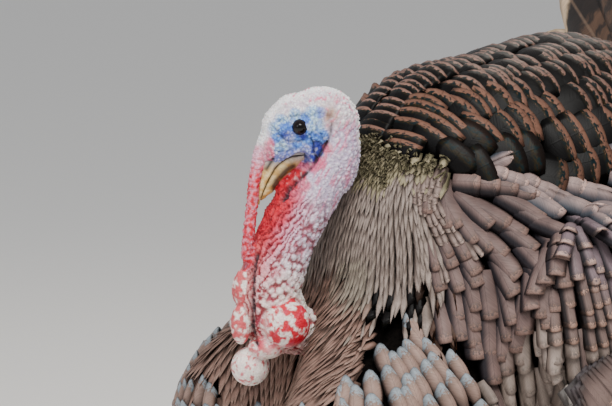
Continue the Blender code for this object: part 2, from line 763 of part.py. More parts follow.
def make_beard(torso):
    """The bristly beard that hangs from the middle of the breast, in three layers of flat locks."""
    draw = random.Random(SEED + 1)
    _, root, _, _ = torso.ray_cast(Vector((-1, 0, BEARD_HEIGHT)), Vector((1, 0, 0)))
    pieces = [ellipsoid("root", root, BEARD_ROOT_RADII, 8, 6)]
    for layer, count in BEARD_LAYERS:
        for index in range(count):
            place = index - (count - 1) / 2
            length = BEARD_LENGTH * draw.uniform(0.84, 1.0)
            stations = []
            for share, width in LOCK_OUTLINE:
                ahead = -0.008 - 0.036 * math.sin(share * 2.1) + layer * (0.0028 + 0.0016 * share)
                sideways = place * (0.0062 + 0.0020 * share)
                centre = root + Vector((ahead, sideways, -length * share**1.15))
                stations.append((centre, Vector((0, LOCK_HALF_WIDTH * width, 0)), Vector((1, 0, 0))))
            pieces.append(strip(stations, LOCK_THICKNESS))
    beard = unite("beard", pieces)
    clear_of(beard, [torso])
    return beard


def make_leg(torso, label, side):
    """Thigh, scaled shank with its spur, and a foot of four toes with their claws."""
    mirror = Vector((1, side, 1))
    hip, hock, heel = HIP * mirror, HOCK * mirror, FOOT * mirror + Vector((0, 0, HEEL_HEIGHT))
    middle = hip.lerp(hock, 0.5) + Vector((0.004, 0, 0))
    sideways = Vector((0, 1, 0))
    thigh = tube("thigh_" + label, (hip, middle, hock), THIGH_RADII, THIGH_RADII, sideways, 7, 10)
    clear_of(thigh, [torso])

    foot_pieces = [ellipsoid("pad", heel - Vector((0, 0, 0.004)), PAD_RADII, 10, 7)]
    claws = []
    start = heel - Vector((0, 0, HEEL_HEIGHT - TOE_HEIGHT))
    for toe, (turn, length, thick) in TOES.items():
        turn *= side
        ahead = Vector((-math.cos(turn), math.sin(turn), 0))
        across = Vector((math.sin(turn), math.cos(turn), 0))
        foot_pieces.append(make_toe(start, ahead, across, length, thick))
        tip = start + ahead * (length + GAP) + Vector((0, 0, -TOE_HEIGHT))
        claws.append(make_claw(f"claw_{label}_{toe}", tip, ahead, across, thick * 0.50))
    foot = unite("foot_" + label, foot_pieces)

    top = hock + (hock - hip).normalized() * GAP
    shank = scaled_shank("shank_" + label, top, heel)
    clear_of(shank, [foot, thigh])

    root = top.lerp(heel, SPUR_PLACE) + Vector((0.004, -side * 0.003, 0))
    middle = root + Vector((0.012, -side * 0.004, -0.001))
    tip = root + Vector((0.022, -side * 0.006, 0.004))
    spur = tube("spur_" + label, (root, middle, tip), SPUR_RADII, SPUR_RADII, sideways, 5, 7)
    clear_of(spur, [shank])
    return [thigh, shank, foot, spur, *claws]


def make_toe(start, ahead, across, length, thick):
    """A toe with three pads under it, flat where it stands on the ground."""
    levels = 7
    rings = []
    for level in range(levels):
        share = level / (levels - 1)
        pad = 1 + 0.10 * math.cos(share * 6 * math.pi)
        radius = thick * (1 - 0.42 * share) * pad
        centre = start + ahead * (length * share) + Vector((0, 0, (radius - TOE_HEIGHT) * 0.85))
        ring = ring_about(centre, ahead, across, radius * 1.08, radius, 7)
        for point in ring:
            point.z = max(point.z, 0.0)
        rings.append(ring)
    return lofted("toe", rings)


def make_claw(name, root, ahead, across, radius):
    """A blunt curved claw that rests its tip just above the ground."""
    rings = []
    for level in range(5):
        share = level / 4
        thick = radius * (1 - 0.80 * share**1.2)
        height = radius * 1.25 + 0.0030 * math.sin(share * 2.2) - 0.0028 * share * share
        centre = root + ahead * (CLAW_LENGTH * share) + Vector((0, 0, height))
        rings.append(ring_about(centre, ahead, across, thick * 0.85, thick, 6))
    for ring in rings:
        for point in ring:
            point.z = max(point.z, 0.0004)
    return lofted(name, rings)


def scaled_shank(name, top, bottom):
    """The bare shank, with its front scutes raised as a row of lapping plates."""
    levels, sides = 22, 9
    along = (bottom - top).normalized()
    rings = []
    for level in range(levels):
        share = level / (levels - 1)
        middle = top.lerp(bottom, share)
        radius = value_at(SHANK_RADII, share)
        raised = SCUTE_HEIGHT if level % 3 == 1 else 0.0
        ring = ring_about(middle, along, Vector((0, 1, 0)), radius * 0.92, radius * 1.08, sides)
        for point in ring:
            outward = (point - middle).normalized()
            point += outward * raised * max(0.0, -outward.x)
        rings.append(ring)
    return lofted(name, rings)


def finish_looks(pieces):
    """Gives each piece its own material and smooths the round ones."""
    feather = ((0.16, 0.11, 0.085), 0.55)
    looks = {
        "torso": feather,
        "tail": ((0.24, 0.15, 0.09), 0.55),
        "wing": ((0.20, 0.16, 0.13), 0.55),
        "thigh": ((0.13, 0.09, 0.07), 0.6),
        "beard": ((0.02, 0.018, 0.016), 0.5),
        "head": ((0.62, 0.66, 0.78), 0.45),
        "neck": ((0.72, 0.30, 0.33), 0.45),
        "snood": ((0.70, 0.20, 0.24), 0.45),
        "bill": ((0.66, 0.52, 0.30), 0.35),
        "eye": ((0.03, 0.02, 0.02), 0.08),
        "shank": ((0.55, 0.34, 0.30), 0.5),
        "foot": ((0.52, 0.33, 0.30), 0.5),
        "claw": ((0.20, 0.16, 0.13), 0.35),
        "spur": ((0.20, 0.16, 0.13), 0.35),
    }
    for piece in pieces:
        colour, roughness = looks[piece.name.split("_")[0]]
        piece.data.materials.clear()
        piece.data.materials.append(material(piece.name, colour, roughness))
        piece.data.shade_smooth()
        piece.data.set_sharp_from_angle(angle=math.radians(40))


def centre_on_box(pieces, bird):
    """Moves the whole bird so that the origin is at the bottom centre of its box."""
    bpy.context.view_layer.update()
    corners = [p.matrix_world @ v.co for p in pieces for v in p.data.vertices]
    for axis in (0, 1):
        low = min(c[axis] for c in corners)
        high = max(c[axis] for c in corners)
        bird.location[axis] = -(low + high) / 2


def main():
    for old in list(bpy.data.objects):
        bpy.data.objects.remove(old)
    torso = make_torso()
    tail = make_tail()
    clear_of(tail, [torso])
    pieces = [torso, tail]
    for label, side in (("left", -1), ("right", 1)):
        wing = make_wing("wing_" + label, side)
        clear_of(wing, [torso])
        pieces.append(wing)
    pieces += make_head_group(torso)
    pieces.append(make_beard(torso))
    for label, side in (("left", -1), ("right", 1)):
        pieces += make_leg(torso, label, side)
    finish_looks(pieces)

    bird = bpy.data.objects.new("bird", None)
    bpy.context.scene.collection.objects.link(bird)
    for placed in list(bpy.context.scene.objects):
        if placed is not bird and placed.parent is None:
            placed.parent = bird
    centre_on_box(pieces, bird)


main()
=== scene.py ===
"""A life-size domestic turkey tom in full strut: bare head, plumage, legs and a plain studio stage.

The file is laid out as a Blender add-on. Every piece is made by its own operator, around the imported
model that is loaded as the frame. Lengths are in metres. The bird faces -X, and its left side is -Y.
"""

import itertools
import json
import math
import random
from functools import partial

import bmesh
import bpy
import numpy as np
from bpy.props import FloatProperty, FloatVectorProperty, IntProperty, PointerProperty
from mathutils import Matrix, Vector, noise
from mathutils.bvhtree import BVHTree

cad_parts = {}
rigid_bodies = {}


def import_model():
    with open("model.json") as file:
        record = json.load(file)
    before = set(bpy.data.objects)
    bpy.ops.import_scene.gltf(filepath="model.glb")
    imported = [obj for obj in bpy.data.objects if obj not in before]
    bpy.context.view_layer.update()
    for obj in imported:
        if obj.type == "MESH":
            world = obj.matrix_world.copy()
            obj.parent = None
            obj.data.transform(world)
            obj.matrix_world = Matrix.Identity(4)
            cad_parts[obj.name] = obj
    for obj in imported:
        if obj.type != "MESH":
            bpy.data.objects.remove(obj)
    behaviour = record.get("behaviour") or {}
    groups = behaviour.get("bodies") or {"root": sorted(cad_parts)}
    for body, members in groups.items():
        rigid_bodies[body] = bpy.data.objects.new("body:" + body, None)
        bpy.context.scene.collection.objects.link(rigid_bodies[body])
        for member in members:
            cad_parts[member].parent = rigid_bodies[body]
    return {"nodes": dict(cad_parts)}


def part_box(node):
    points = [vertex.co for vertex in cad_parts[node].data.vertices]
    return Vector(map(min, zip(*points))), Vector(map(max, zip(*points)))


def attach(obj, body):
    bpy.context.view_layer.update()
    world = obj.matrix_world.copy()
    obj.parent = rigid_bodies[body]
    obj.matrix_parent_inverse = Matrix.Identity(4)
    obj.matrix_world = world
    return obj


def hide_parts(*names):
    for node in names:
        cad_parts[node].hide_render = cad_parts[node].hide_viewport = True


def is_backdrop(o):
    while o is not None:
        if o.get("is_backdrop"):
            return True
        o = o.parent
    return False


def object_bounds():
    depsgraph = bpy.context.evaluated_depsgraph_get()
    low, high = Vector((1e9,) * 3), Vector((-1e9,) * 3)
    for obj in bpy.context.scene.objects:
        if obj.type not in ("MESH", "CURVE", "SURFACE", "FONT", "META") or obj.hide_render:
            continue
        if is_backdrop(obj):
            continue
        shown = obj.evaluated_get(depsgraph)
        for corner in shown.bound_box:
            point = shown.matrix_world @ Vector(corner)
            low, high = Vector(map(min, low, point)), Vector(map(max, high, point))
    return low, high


bl_info = {
    "name": "Strutting turkey tom",
    "version": (1, 0, 0),
    "blender": (4, 5, 0),
    "location": "View3D > Sidebar > Turkey",
    "description": "Builds the skin, plumage, horn and stage of a life-size turkey tom",
    "category": "Add Mesh",
}

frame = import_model()
CAD_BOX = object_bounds()


def middle_of(node):
    """The middle of a node's box."""
    low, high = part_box(node)
    return (low + high) / 2


# The head's own frame: origin midway between the eyes, +X to the nape, +Z up, -Y the left side
LEFT_EYE, RIGHT_EYE = middle_of("eye_left"), middle_of("eye_right")
EYE_RADIUS = (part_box("eye_left")[1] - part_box("eye_left")[0]).z / 2
HEAD_PLACE = (LEFT_EYE + RIGHT_EYE) / 2
HEAD_TURN = math.atan2(LEFT_EYE.x - RIGHT_EYE.x, RIGHT_EYE.y - LEFT_EYE.y)
HEAD = Matrix.Translation(HEAD_PLACE) @ Matrix.Rotation(HEAD_TURN, 4, "Z")
# Places on the body are given from here: on the floor, 246 mm behind the eyes
BIRD = Matrix.Translation(HEAD_PLACE - Vector((-0.246, -0.016, 0.625)))
# No feather grows below the hocks
HOCK = 0.185


def linear(code):
    """Linear red, green, blue and alpha of an sRGB hex colour."""
    levels = [int(code[i : i + 2], 16) / 255 for i in (1, 3, 5)]
    return (*[c / 12.92 if c <= 0.04045 else ((c + 0.055) / 1.055) ** 2.4 for c in levels], 1.0)


# The setting that a node's kind names after a colon, where that isn't its operation
NAMED_SETTINGS = {
    "Attribute": "attribute_name", "MapRange": "interpolation_type", "Mix": "blend_type",
    "TexVoronoi": "feature", "UVMap": "uv_map", "GeometryNodeInputNamedAttribute": "data_type",
    "GeometryNodeStoreNamedAttribute": "data_type",
}


def fill(made, *values, **named):
    """Links or fills a node's inputs, in order and by name."""
    places = (0, 6, 7) if made.bl_idname == "ShaderNodeMix" else range(len(values))
    for socket, value in (*zip(places, values), *named.items()):
        socket = made.inputs[socket.replace("_", " ") if isinstance(socket, str) else socket]
        if isinstance(value, bpy.types.Node):
            value = next(output for output in value.outputs if output.enabled)
        if isinstance(value, bpy.types.NodeSocket):
            made.id_data.links.new(value, socket)
        else:
            socket.default_value = value


def add(tree, kind, *values, **named):
    """Adds a node, sets what its kind names after a colon, and links or fills its inputs."""
    kind, _, setting = kind.partition(":")
    made = tree.nodes.new(kind if "Node" in kind else "ShaderNode" + kind)
    if kind == "Mix":
        made.data_type = "RGBA"
    if setting:
        setattr(made, NAMED_SETTINGS.get(kind, "operation"), setting)
    fill(made, *values, **named)
    return made


def new_material(name):
    """A new material, what adds a node to it, and its surface shader."""
    made = bpy.data.materials.new(name)
    made.use_nodes = True
    return made, partial(add, made.node_tree), made.node_tree.nodes["Principled BSDF"]


def colour(name, description, code):
    """A colour setting with an sRGB hex default."""
    return FloatVectorProperty(
        name=name, description=description, subtype="COLOR", size=4, min=0, max=1, default=linear(code)
    )


def length(name, description, default):
    """A length setting in metres."""
    return FloatProperty(name=name, description=description, default=default, min=0, unit="LENGTH")


def angle_setting(name, description, degrees):
    """An angle setting."""
    return FloatProperty(name=name, description=description, default=math.radians(degrees), unit="ROTATION")


class SkinSettings(bpy.types.PropertyGroup):
    """Sizes and colours of the bare skin."""

    coat_depth: length("Coat depth", "How far the skin lies inside the feather tips", 0.013)
    head_voxel: length("Head grain", "Size of the head's and neck's mesh cells", 0.0011)
    body_voxel: length("Body grain", "Size of the body's mesh cells", 0.0080)
    leg_voxel: length("Leg grain", "Size of the legs' mesh cells", 0.0020)
    crown: colour("Crown", "White skin of the crown", "#FAF6F7")
    nape: colour("Nape", "Lavender white skin behind the jaw", "#E8DDF0")
    brow: colour("Brow", "Pale cyan skin over the eye", "#C4E8F8")
    face: colour("Face", "Sky-blue skin round the eye", "#6AA3F0")
    cheek: colour("Cheek", "Cobalt skin behind the mouth", "#2639A6")
    lore: colour("Lore", "Violet-grey skin before the eye", "#AEB2E6")
    throat: colour("Throat", "Bright red skin of the throat", "#D0062A")
    neck_pink: colour("Neck", "Pink skin of the neck's side", "#EA7C98")
    beads: colour("Beads", "Cream-white beads and bulbs", "#FFF3EA")
    # The crevice colour is deep red skin darkened into painted shade for the folds and the cleft
    crevice: colour("Crevice", "Blood-red skin down in the folds", "#7A0A1C")
    legs: colour("Legs", "Pinkish grey scutes", "#A9837A")


class PlumageSettings(bpy.types.PropertyGroup):
    """How the body feathers are laid."""

    seed: IntProperty(name="Seed", description="Start of the random draws", default=7, min=0)
    fullness: FloatProperty(
        name="Fullness", description="Feathers along each column, as a share", default=1.0, min=0.3, max=2.0
    )


class StageSettings(bpy.types.PropertyGroup):
    """The floor, the lights and the camera."""

    floor: colour("Floor", "Plain pale floor", "#F1EEE9")
    azimuth: angle_setting("Azimuth", "Camera angle round the bird", -33)
    elevation: angle_setting("Elevation", "Camera angle over the horizon", 7)
    distance: length("Distance", "From the camera to the head", 3.0)
    reach: length("Reach", "Half the width that the picture takes in at the head", 0.255)


def new_object(name, mesh):
    """Links a new object to the scene."""
    made = bpy.data.objects.new(name, mesh)
    bpy.context.scene.collection.objects.link(made)
    return made


def apply_modifiers(piece):
    """Bakes the modifiers into the piece's mesh."""
    bpy.context.view_layer.update()
    baked = bpy.data.meshes.new_from_object(piece.evaluated_get(bpy.context.evaluated_depsgraph_get()))
    piece.modifiers.clear()
    old, piece.data = piece.data, baked
    bpy.data.meshes.remove(old)


def read(values, field, width=3):
    """One field of a mesh's elements, as rows of numbers."""
    flat = np.empty(len(values) * width, np.float32)
    values.foreach_get(field, flat)
    return flat.reshape(-1, width).astype(float)


def points_of(mesh):
    """The mesh's vertices as rows of numbers."""
    return read(mesh.vertices, "co")


def set_points(mesh, points):
    """Moves the mesh's vertices."""
    mesh.vertices.foreach_set("co", points.astype(np.float32).ravel())
    mesh.update()


def store(mesh, name, values, kind="FLOAT"):
    """Keeps one value for each vertex under a name."""
    field = {"FLOAT_COLOR": "color", "FLOAT_VECTOR": "vector"}.get(kind, "value")
    mesh.attributes.new(name, kind, "POINT").data.foreach_set(field, np.asarray(values, np.float32).ravel())


def tint(mesh, name, colours):
    """Keeps one colour for each vertex under a name."""
    store(mesh, name, np.column_stack((colours, np.ones(len(colours)))), "FLOAT_COLOR")


def smooth(mesh):
    """Shades all faces smoothly."""
    mesh.polygons.foreach_set("use_smooth", np.ones(len(mesh.polygons), bool))


def smoothstep(low, high, values):
    """0 below low, 1 above high, and a smooth rise between."""
    share = np.clip((values - low) / (high - low), 0, 1)
    return share * share * (3 - 2 * share)


def bell(distance, width):
    """1 where the distance is 0, falling smoothly to almost nothing at twice the width."""
    return np.exp(-((distance / width) ** 2))


def mix(first, second, share):
    """Blends two colours, or two lists of them, by one share for each row."""
    return first + (second - first) * (share[:, None] if np.ndim(share) == 1 else share)


def shade(code):
    """Three linear levels of a hex colour."""
    return np.array(linear(code)[:3])


def value_at(stops, share):
    """Reads a smooth profile, given as (share, value) stops."""
    for (low, first), (high, second) in zip(stops, stops[1:]):
        if share <= high:
            t = max(0.0, min(1.0, (share - low) / (high - low)))
            return first + (second - first) * t * t * (3 - 2 * t)
    return stops[-1][1]


def curve_point(points, share):
    """A point on the smooth curve through the given points, from 0 to 1."""
    spans = len(points) - 1
    place = min(max(share, 0.0), 1.0) * spans
    index = min(int(place), spans - 1)
    t = place - index
    p1, p2 = Vector(points[index]), Vector(points[index + 1])
    p0 = Vector(points[index - 1]) if index > 0 else p1 * 2 - p2
    p3 = Vector(points[index + 2]) if index + 2 <= spans else p2 * 2 - p1
    bend = (2 * p0 - 5 * p1 + 4 * p2 - p3) * t**2 + (3 * p1 - p0 - 3 * p2 + p3) * t**3
    return 0.5 * (2 * p1 + (p2 - p0) * t + bend)


def frame_at(spine, share):
    """The way along a bent line at a share of its length, and the level way square to it."""
    along = curve_point(spine, min(1.0, share + 0.02)) - curve_point(spine, max(0.0, share - 0.02))
    along.normalize()
    return along, (Vector((0, 1, 0)) - along * along.y).normalized()


def ellipsoid(shape, centre, radii, turn=Matrix.Identity(4), segments=24, rings=16):
    """Adds a closed ellipsoid to a bmesh."""
    place = Matrix.Translation(centre) @ turn @ Matrix.Diagonal((*radii, 1))
    made = bmesh.ops.create_uvsphere(shape, u_segments=segments, v_segments=rings, radius=1.0, matrix=place)
    return made["verts"]


def bridge(shape, rings):
    """Closes a row of rings of vertices into one solid."""
    for first, second in zip(rings, rings[1:]):
        for k in range(len(first)):
            after = (k + 1) % len(first)
            shape.faces.new((first[k], first[after], second[after], second[k]))
    shape.faces.new(reversed(rings[0]))
    shape.faces.new(rings[-1])


def tube(shape, spine, widths, depths, levels=40, sides=24):
    """Adds a closed bent tube in the head's frame. Widths run along Y and depths across both."""
    rings = []
    for level in range(levels):
        share = level / (levels - 1)
        along, side = frame_at(spine, share)
        out = side.cross(along)
        centre, width, depth = curve_point(spine, share), value_at(widths, share), value_at(depths, share)
        ring = []
        for k in range(sides):
            angle = 2 * math.pi * k / sides
            spot = centre + side * (width * math.cos(angle)) + out * (depth * math.sin(angle))
            ring.append(shape.verts.new(spot))
        rings.append(ring[::-1])
    bridge(shape, rings)
    bmesh.ops.transform(shape, matrix=HEAD, verts=[corner for ring in rings for corner in ring])


def finished(shape, name):
    """Turns a bmesh into an object, with its faces pointing out."""
    bmesh.ops.recalc_face_normals(shape, faces=shape.faces)
    mesh = bpy.data.meshes.new(name)
    shape.to_mesh(mesh)
    shape.free()
    return new_object(name, mesh)


def remesh(piece, voxel, rounds):
    """Melts overlapping shapes into one even skin, and smooths it."""
    melt = piece.modifiers.new("melt", "REMESH")
    melt.mode = "VOXEL"
    melt.voxel_size = voxel
    ease = piece.modifiers.new("ease", "SMOOTH")
    ease.factor = 0.5
    ease.iterations = rounds
    apply_modifiers(piece)


# Masses of the skull in the head's frame: centre and half sizes
HEAD_MASSES = (
    ((0.0200, 0, 0.0000), (0.0332, 0.0235, 0.0325)),
    ((0.0000, 0, 0.0075), (0.0225, 0.0170, 0.0198)),
    ((-0.0060, 0, -0.003), (0.0246, 0.0178, 0.0240)),
    ((0.031, 0, -0.022), (0.0225, 0.0225, 0.0400)),
    ((0.004, 0, -0.018), (0.0200, 0.0190, 0.0180)),
    ((-0.017, 0, -0.017), (0.0175, 0.0145, 0.0165)),
    ((0.001, 0, -0.037), (0.0170, 0.0130, 0.0130)),
    ((-0.010, 0, -0.049), (0.0090, 0.0095, 0.0115)),
)
NECK_SPINE = (
    (0.026, 0, -0.022), (0.015, 0, -0.052), (-0.004, 0, -0.085), (-0.019, 0, -0.120),
    (-0.024, 0.002, -0.150), (-0.009, 0.014, -0.171), (0.020, 0.028, -0.181), (0.052, 0.042, -0.190),
)
NECK_DEPTHS = ((0, 0.0235), (0.3, 0.0240), (0.45, 0.0255), (0.62, 0.0285), (0.8, 0.0200), (1, 0.0170))
NECK_WIDTHS = ((0, 0.0215), (0.3, 0.0235), (0.45, 0.0260), (0.62, 0.0285), (0.8, 0.0200), (1, 0.0170))
SNOOD_SPINE = (
    (-0.0215, 0, -0.008), (-0.0295, -0.001, -0.018), (-0.0340, -0.003, -0.034), (-0.0372, -0.005, -0.048),
    (-0.0388, -0.006, -0.064), (-0.0425, -0.007, -0.094), (-0.0450, -0.007, -0.114),
)
SNOOD_RADII = ((0, 0.0066), (0.25, 0.0060), (0.5, 0.0050), (0.85, 0.0050), (0.95, 0.0044), (1, 0.0022))
# Swollen bulbs at the foot of the neck: centre, radius and stretch along each axis
BULBS = (
    ((-0.012, -0.019, -0.165), 0.0200, (1, 0.9, 1.02)),
    ((-0.020, 0.021, -0.164), 0.0170, (1, 1, 1)),
    ((-0.0405, -0.002, -0.203), 0.0168, (1, 1, 1)),
    ((-0.028, -0.012, -0.186), 0.0120, (1.3, 1.1, 0.8)),
    ((-0.028, 0.013, -0.187), 0.0115, (1, 1, 1)),
    ((-0.046, 0.012, -0.140), 0.0090, (0.9, 0.9, 1.6)),
    ((-0.047, 0.012, -0.168), 0.0090, (1, 1, 1.2)),
    ((-0.0485, -0.008, -0.136), 0.0074, (0.9, 1, 2.2)),
    ((-0.0490, -0.008, -0.166), 0.0092, (0.95, 1, 1.9)),
)
# Lines on both sides of the head, as (x, z) in millimetres from the eye, then width and depth.
# A negative depth raises a ridge.
CREASES = (
    (((4.8, -24.3), (1.5, -25.2), (-5, -26.2), (-11, -29)), 1.1, 2.8),
    (((22.4, -12.6), (17, -22), (9.3, -33.6), (0, -44), (-8.4, -52.9), (-13.5, -62.1)), 1.5, 3.4),
    (((26, 4), (25, -6), (22.4, -12.6)), 1.3, 1.3),
    (((3, -30), (1, -40), (-8, -48.5), (-16.8, -57), (-21, -66), (-22, -78)), 3.0, -3.0),
    (((-17, -6.5), (-12, -11.5), (-5, -12.5), (4, -10.5), (9, -4)), 1.1, 1.3),
    (((-18, 5), (-10, 8.2), (-2, 10), (7, 9.5), (16, 13)), 1.2, 1.1),
    (((8, -9), (11, -14), (11, -19), (13, -25), (12, -30)), 1.2, 1.6),
    (((11, 7), (13, 0), (12, -7)), 1.0, 1.0),
    (((-24, 2), (-18, -4), (-19, -12), (-14, -17)), 1.1, 0.9),
    (((-20, -20), (-12, -21), (-5, -18), (4, -20)), 1.1, 0.9),
    (((16, -4), (20, -14), (17, -20)), 1.0, 1.2),
    (((10, -12), (16, -12), (19, -17)), 1.0, 1.2),
    (((-6, -14), (-2, -18), (6, -17)), 1.0, 0.9),
    (((-26, 10), (-16, 15), (-6, 20)), 1.2, 0.6),
    (((-36, -108), (-39.5, -124), (-40.5, -145), (-40, -165), (-37, -182)), 2.0, 3.2),
)
# Where the lower half of the bill lies, in the same terms, so that the chin keeps clear of it
BILL_BED = ((1, -29), (-8, -35), (-16.5, -43), (-23.5, -53), (-30, -63))
# Half the height and width of the eye's opening, and how far it tilts
EYE_OPENING = (0.0029, 0.0040, math.radians(28))
EAR_PLACE = (0.0245, 0.0095)
NOSTRIL = ((-21.9, -27.7), (-24.3, -31.6), (-27.3, -35.7))
# Colours on the head: x and z from the eye and reach in millimetres, and the setting to use
HEAD_PATCHES = [
    ((float(x), float(z)), float(reach), name) for x, z, reach, name in map(str.split, """
20 36 15 crown; -8 28 13 crown; -29 12 11 crown; 38 14 13 crown; 44 -12 13 nape; 40 -38 16 nape;
22 -52 12 nape; 26 6 7 nape; 2 22 8 crown; -14 15 6 crown; -16 7 4.5 brow; -4 11.5 4.5 brow; 9 13 5 brow;
-22 0 5 brow; 17 11 4 face; 4 8 3.5 face; 14 3 5 brow; 16 -7 4.5 face; 9 -10 4 face; -14 -1 4.5 face;
-3 -14 5 face; -9 -12 5 lore; 4 -19 4 lore; -14 -16 5 brow; -19 -9 4 face; -13 -5 3.5 cheek;
2 -8 2.5 cheek; 13 -14 3.5 cheek; 14 -20 3.5 cheek; 11 -26 3 cheek; -12 -23 5 lore; -3 -21 4 lore;
6 -28 3.5 lore; 9 -33 3 neck_pink; -31 -4 6 nape; -25 -13 3.5 neck_pink; 23 -18 3 neck_pink;
16 -31 3.5 neck_pink; -28 -22 4 neck_pink; 2 -33 3 neck_pink; 1 -40 3.5 throat; -8 -48 4 throat;
-17 -57 5 throat; -22 -70 5 throat; 4 -48 4 neck_pink; 10 -42 4 nape; -5 -58 4 neck_pink
""".split(";"))
]
# Values that the skin's shape leaves for its colours
LAYERS = ("high", "pit", "ear", "lids", "snood", "bulb", "cleft")
# The muscles of one upper arm and the root of the tail, from the bird's origin: centre and half sizes
WING_ARMS = (((-0.012, 0.164, 0.480), (0.112, 0.034, 0.084)), ((-0.030, 0.186, 0.445), (0.088, 0.020, 0.050)))
TAIL_HUB = ((0.222, 0, 0.520), (0.050, 0.062, 0.058))
# The hump over the shoulders rises between these two heights and these two places along the bird
HUMP = ((0.54, 0.60), (-0.19, -0.14))
# The coat's full depth is reached here, and the legs' colours fade in between the last two heights
FULL_DEPTH = 0.27
LEG_COLOURS = (0.21, 0.19)


def head_local(points):
    """World places in the head's own frame."""
    inverse = np.array(HEAD.inverted())
    return points @ inverse[:3, :3].T + inverse[:3, 3]


def lumps(seed, points, size, octaves=2):
    """Smooth random values from about -1 to 1 at each place."""
    shift = Vector((seed * 7.3, seed * 3.1, seed * 5.7))
    return np.array([noise.fractal(Vector(p) / size + shift, 1.0, 2.0, octaves) for p in points])


def pebbles(points, size):
    """Domed cells of about the given size: 0 in the furrows between them and 1 on top."""
    gaps = np.array([noise.voronoi(Vector(point) / size)[0][:2] for point in points])
    return smoothstep(0.02, 0.42, gaps[:, 1] - gaps[:, 0])


def line_distance(flat, line):
    """Distance from places in a plane to a bent line, both in millimetres."""
    best = np.full(len(flat), 1e9)
    for first, second in zip(line, line[1:]):
        start, along = np.array(first, float), np.array(second, float) - np.array(first, float)
        share = np.clip(((flat - start) @ along) / (along @ along), 0, 1)
        best = np.minimum(best, np.linalg.norm(flat - start - share[:, None] * along, axis=1))
    return best


def neck_place(points, samples=80):
    """How far down the neck each place is, from 0 to 1, and its angle from the front."""
    spine = np.array([curve_point(NECK_SPINE, i / (samples - 1)) for i in range(samples)])
    along = np.gradient(spine, axis=0)
    along /= np.linalg.norm(along, axis=1)[:, None]
    side = np.array((0, 1.0, 0)) - along * along[:, 1:2]
    side /= np.linalg.norm(side, axis=1)[:, None]
    front = np.cross(along, side)
    if front[0, 0] > 0:
        front = -front
    near = np.argmin(((points[:, None, :] - spine[None]) ** 2).sum(2), axis=1)
    offset = points - spine[near]
    return near / (samples - 1), np.arctan2((offset * side[near]).sum(1), (offset * front[near]).sum(1))


def neck_beads(rng):
    """Places and sizes of the beads that stud the back and sides of the neck."""
    share = 0.10
    for row in itertools.count():
        size = 0.0042 + 0.0052 * share
        reach = math.radians(62 + 62 * min(1.0, share / 0.55))
        step = size / value_at(NECK_WIDTHS, share)
        count = int(reach / step)
        for k in range(-count, count + 1):
            angle = math.pi + (k + 0.5 * (row % 2) + rng.uniform(-0.2, 0.2)) * step
            spot = neck_spot(share + rng.uniform(-0.008, 0.008), angle)
            yield (*spot, size * rng.uniform(0.75, 1.15))
        share += 0.82 * size / 0.225
        if share >= 0.80:
            return


def neck_spot(share, angle):
    """The place on the neck's plain surface at a share of its length and an angle from the front."""
    along, side = frame_at(NECK_SPINE, share)
    front = along.cross(side)
    if front.x > 0:
        front = -front
    width, depth = value_at(NECK_WIDTHS, share), value_at(NECK_DEPTHS, share)
    across = side * (width * math.sin(angle))
    return curve_point(NECK_SPINE, share) + front * (depth * math.cos(angle)) + across


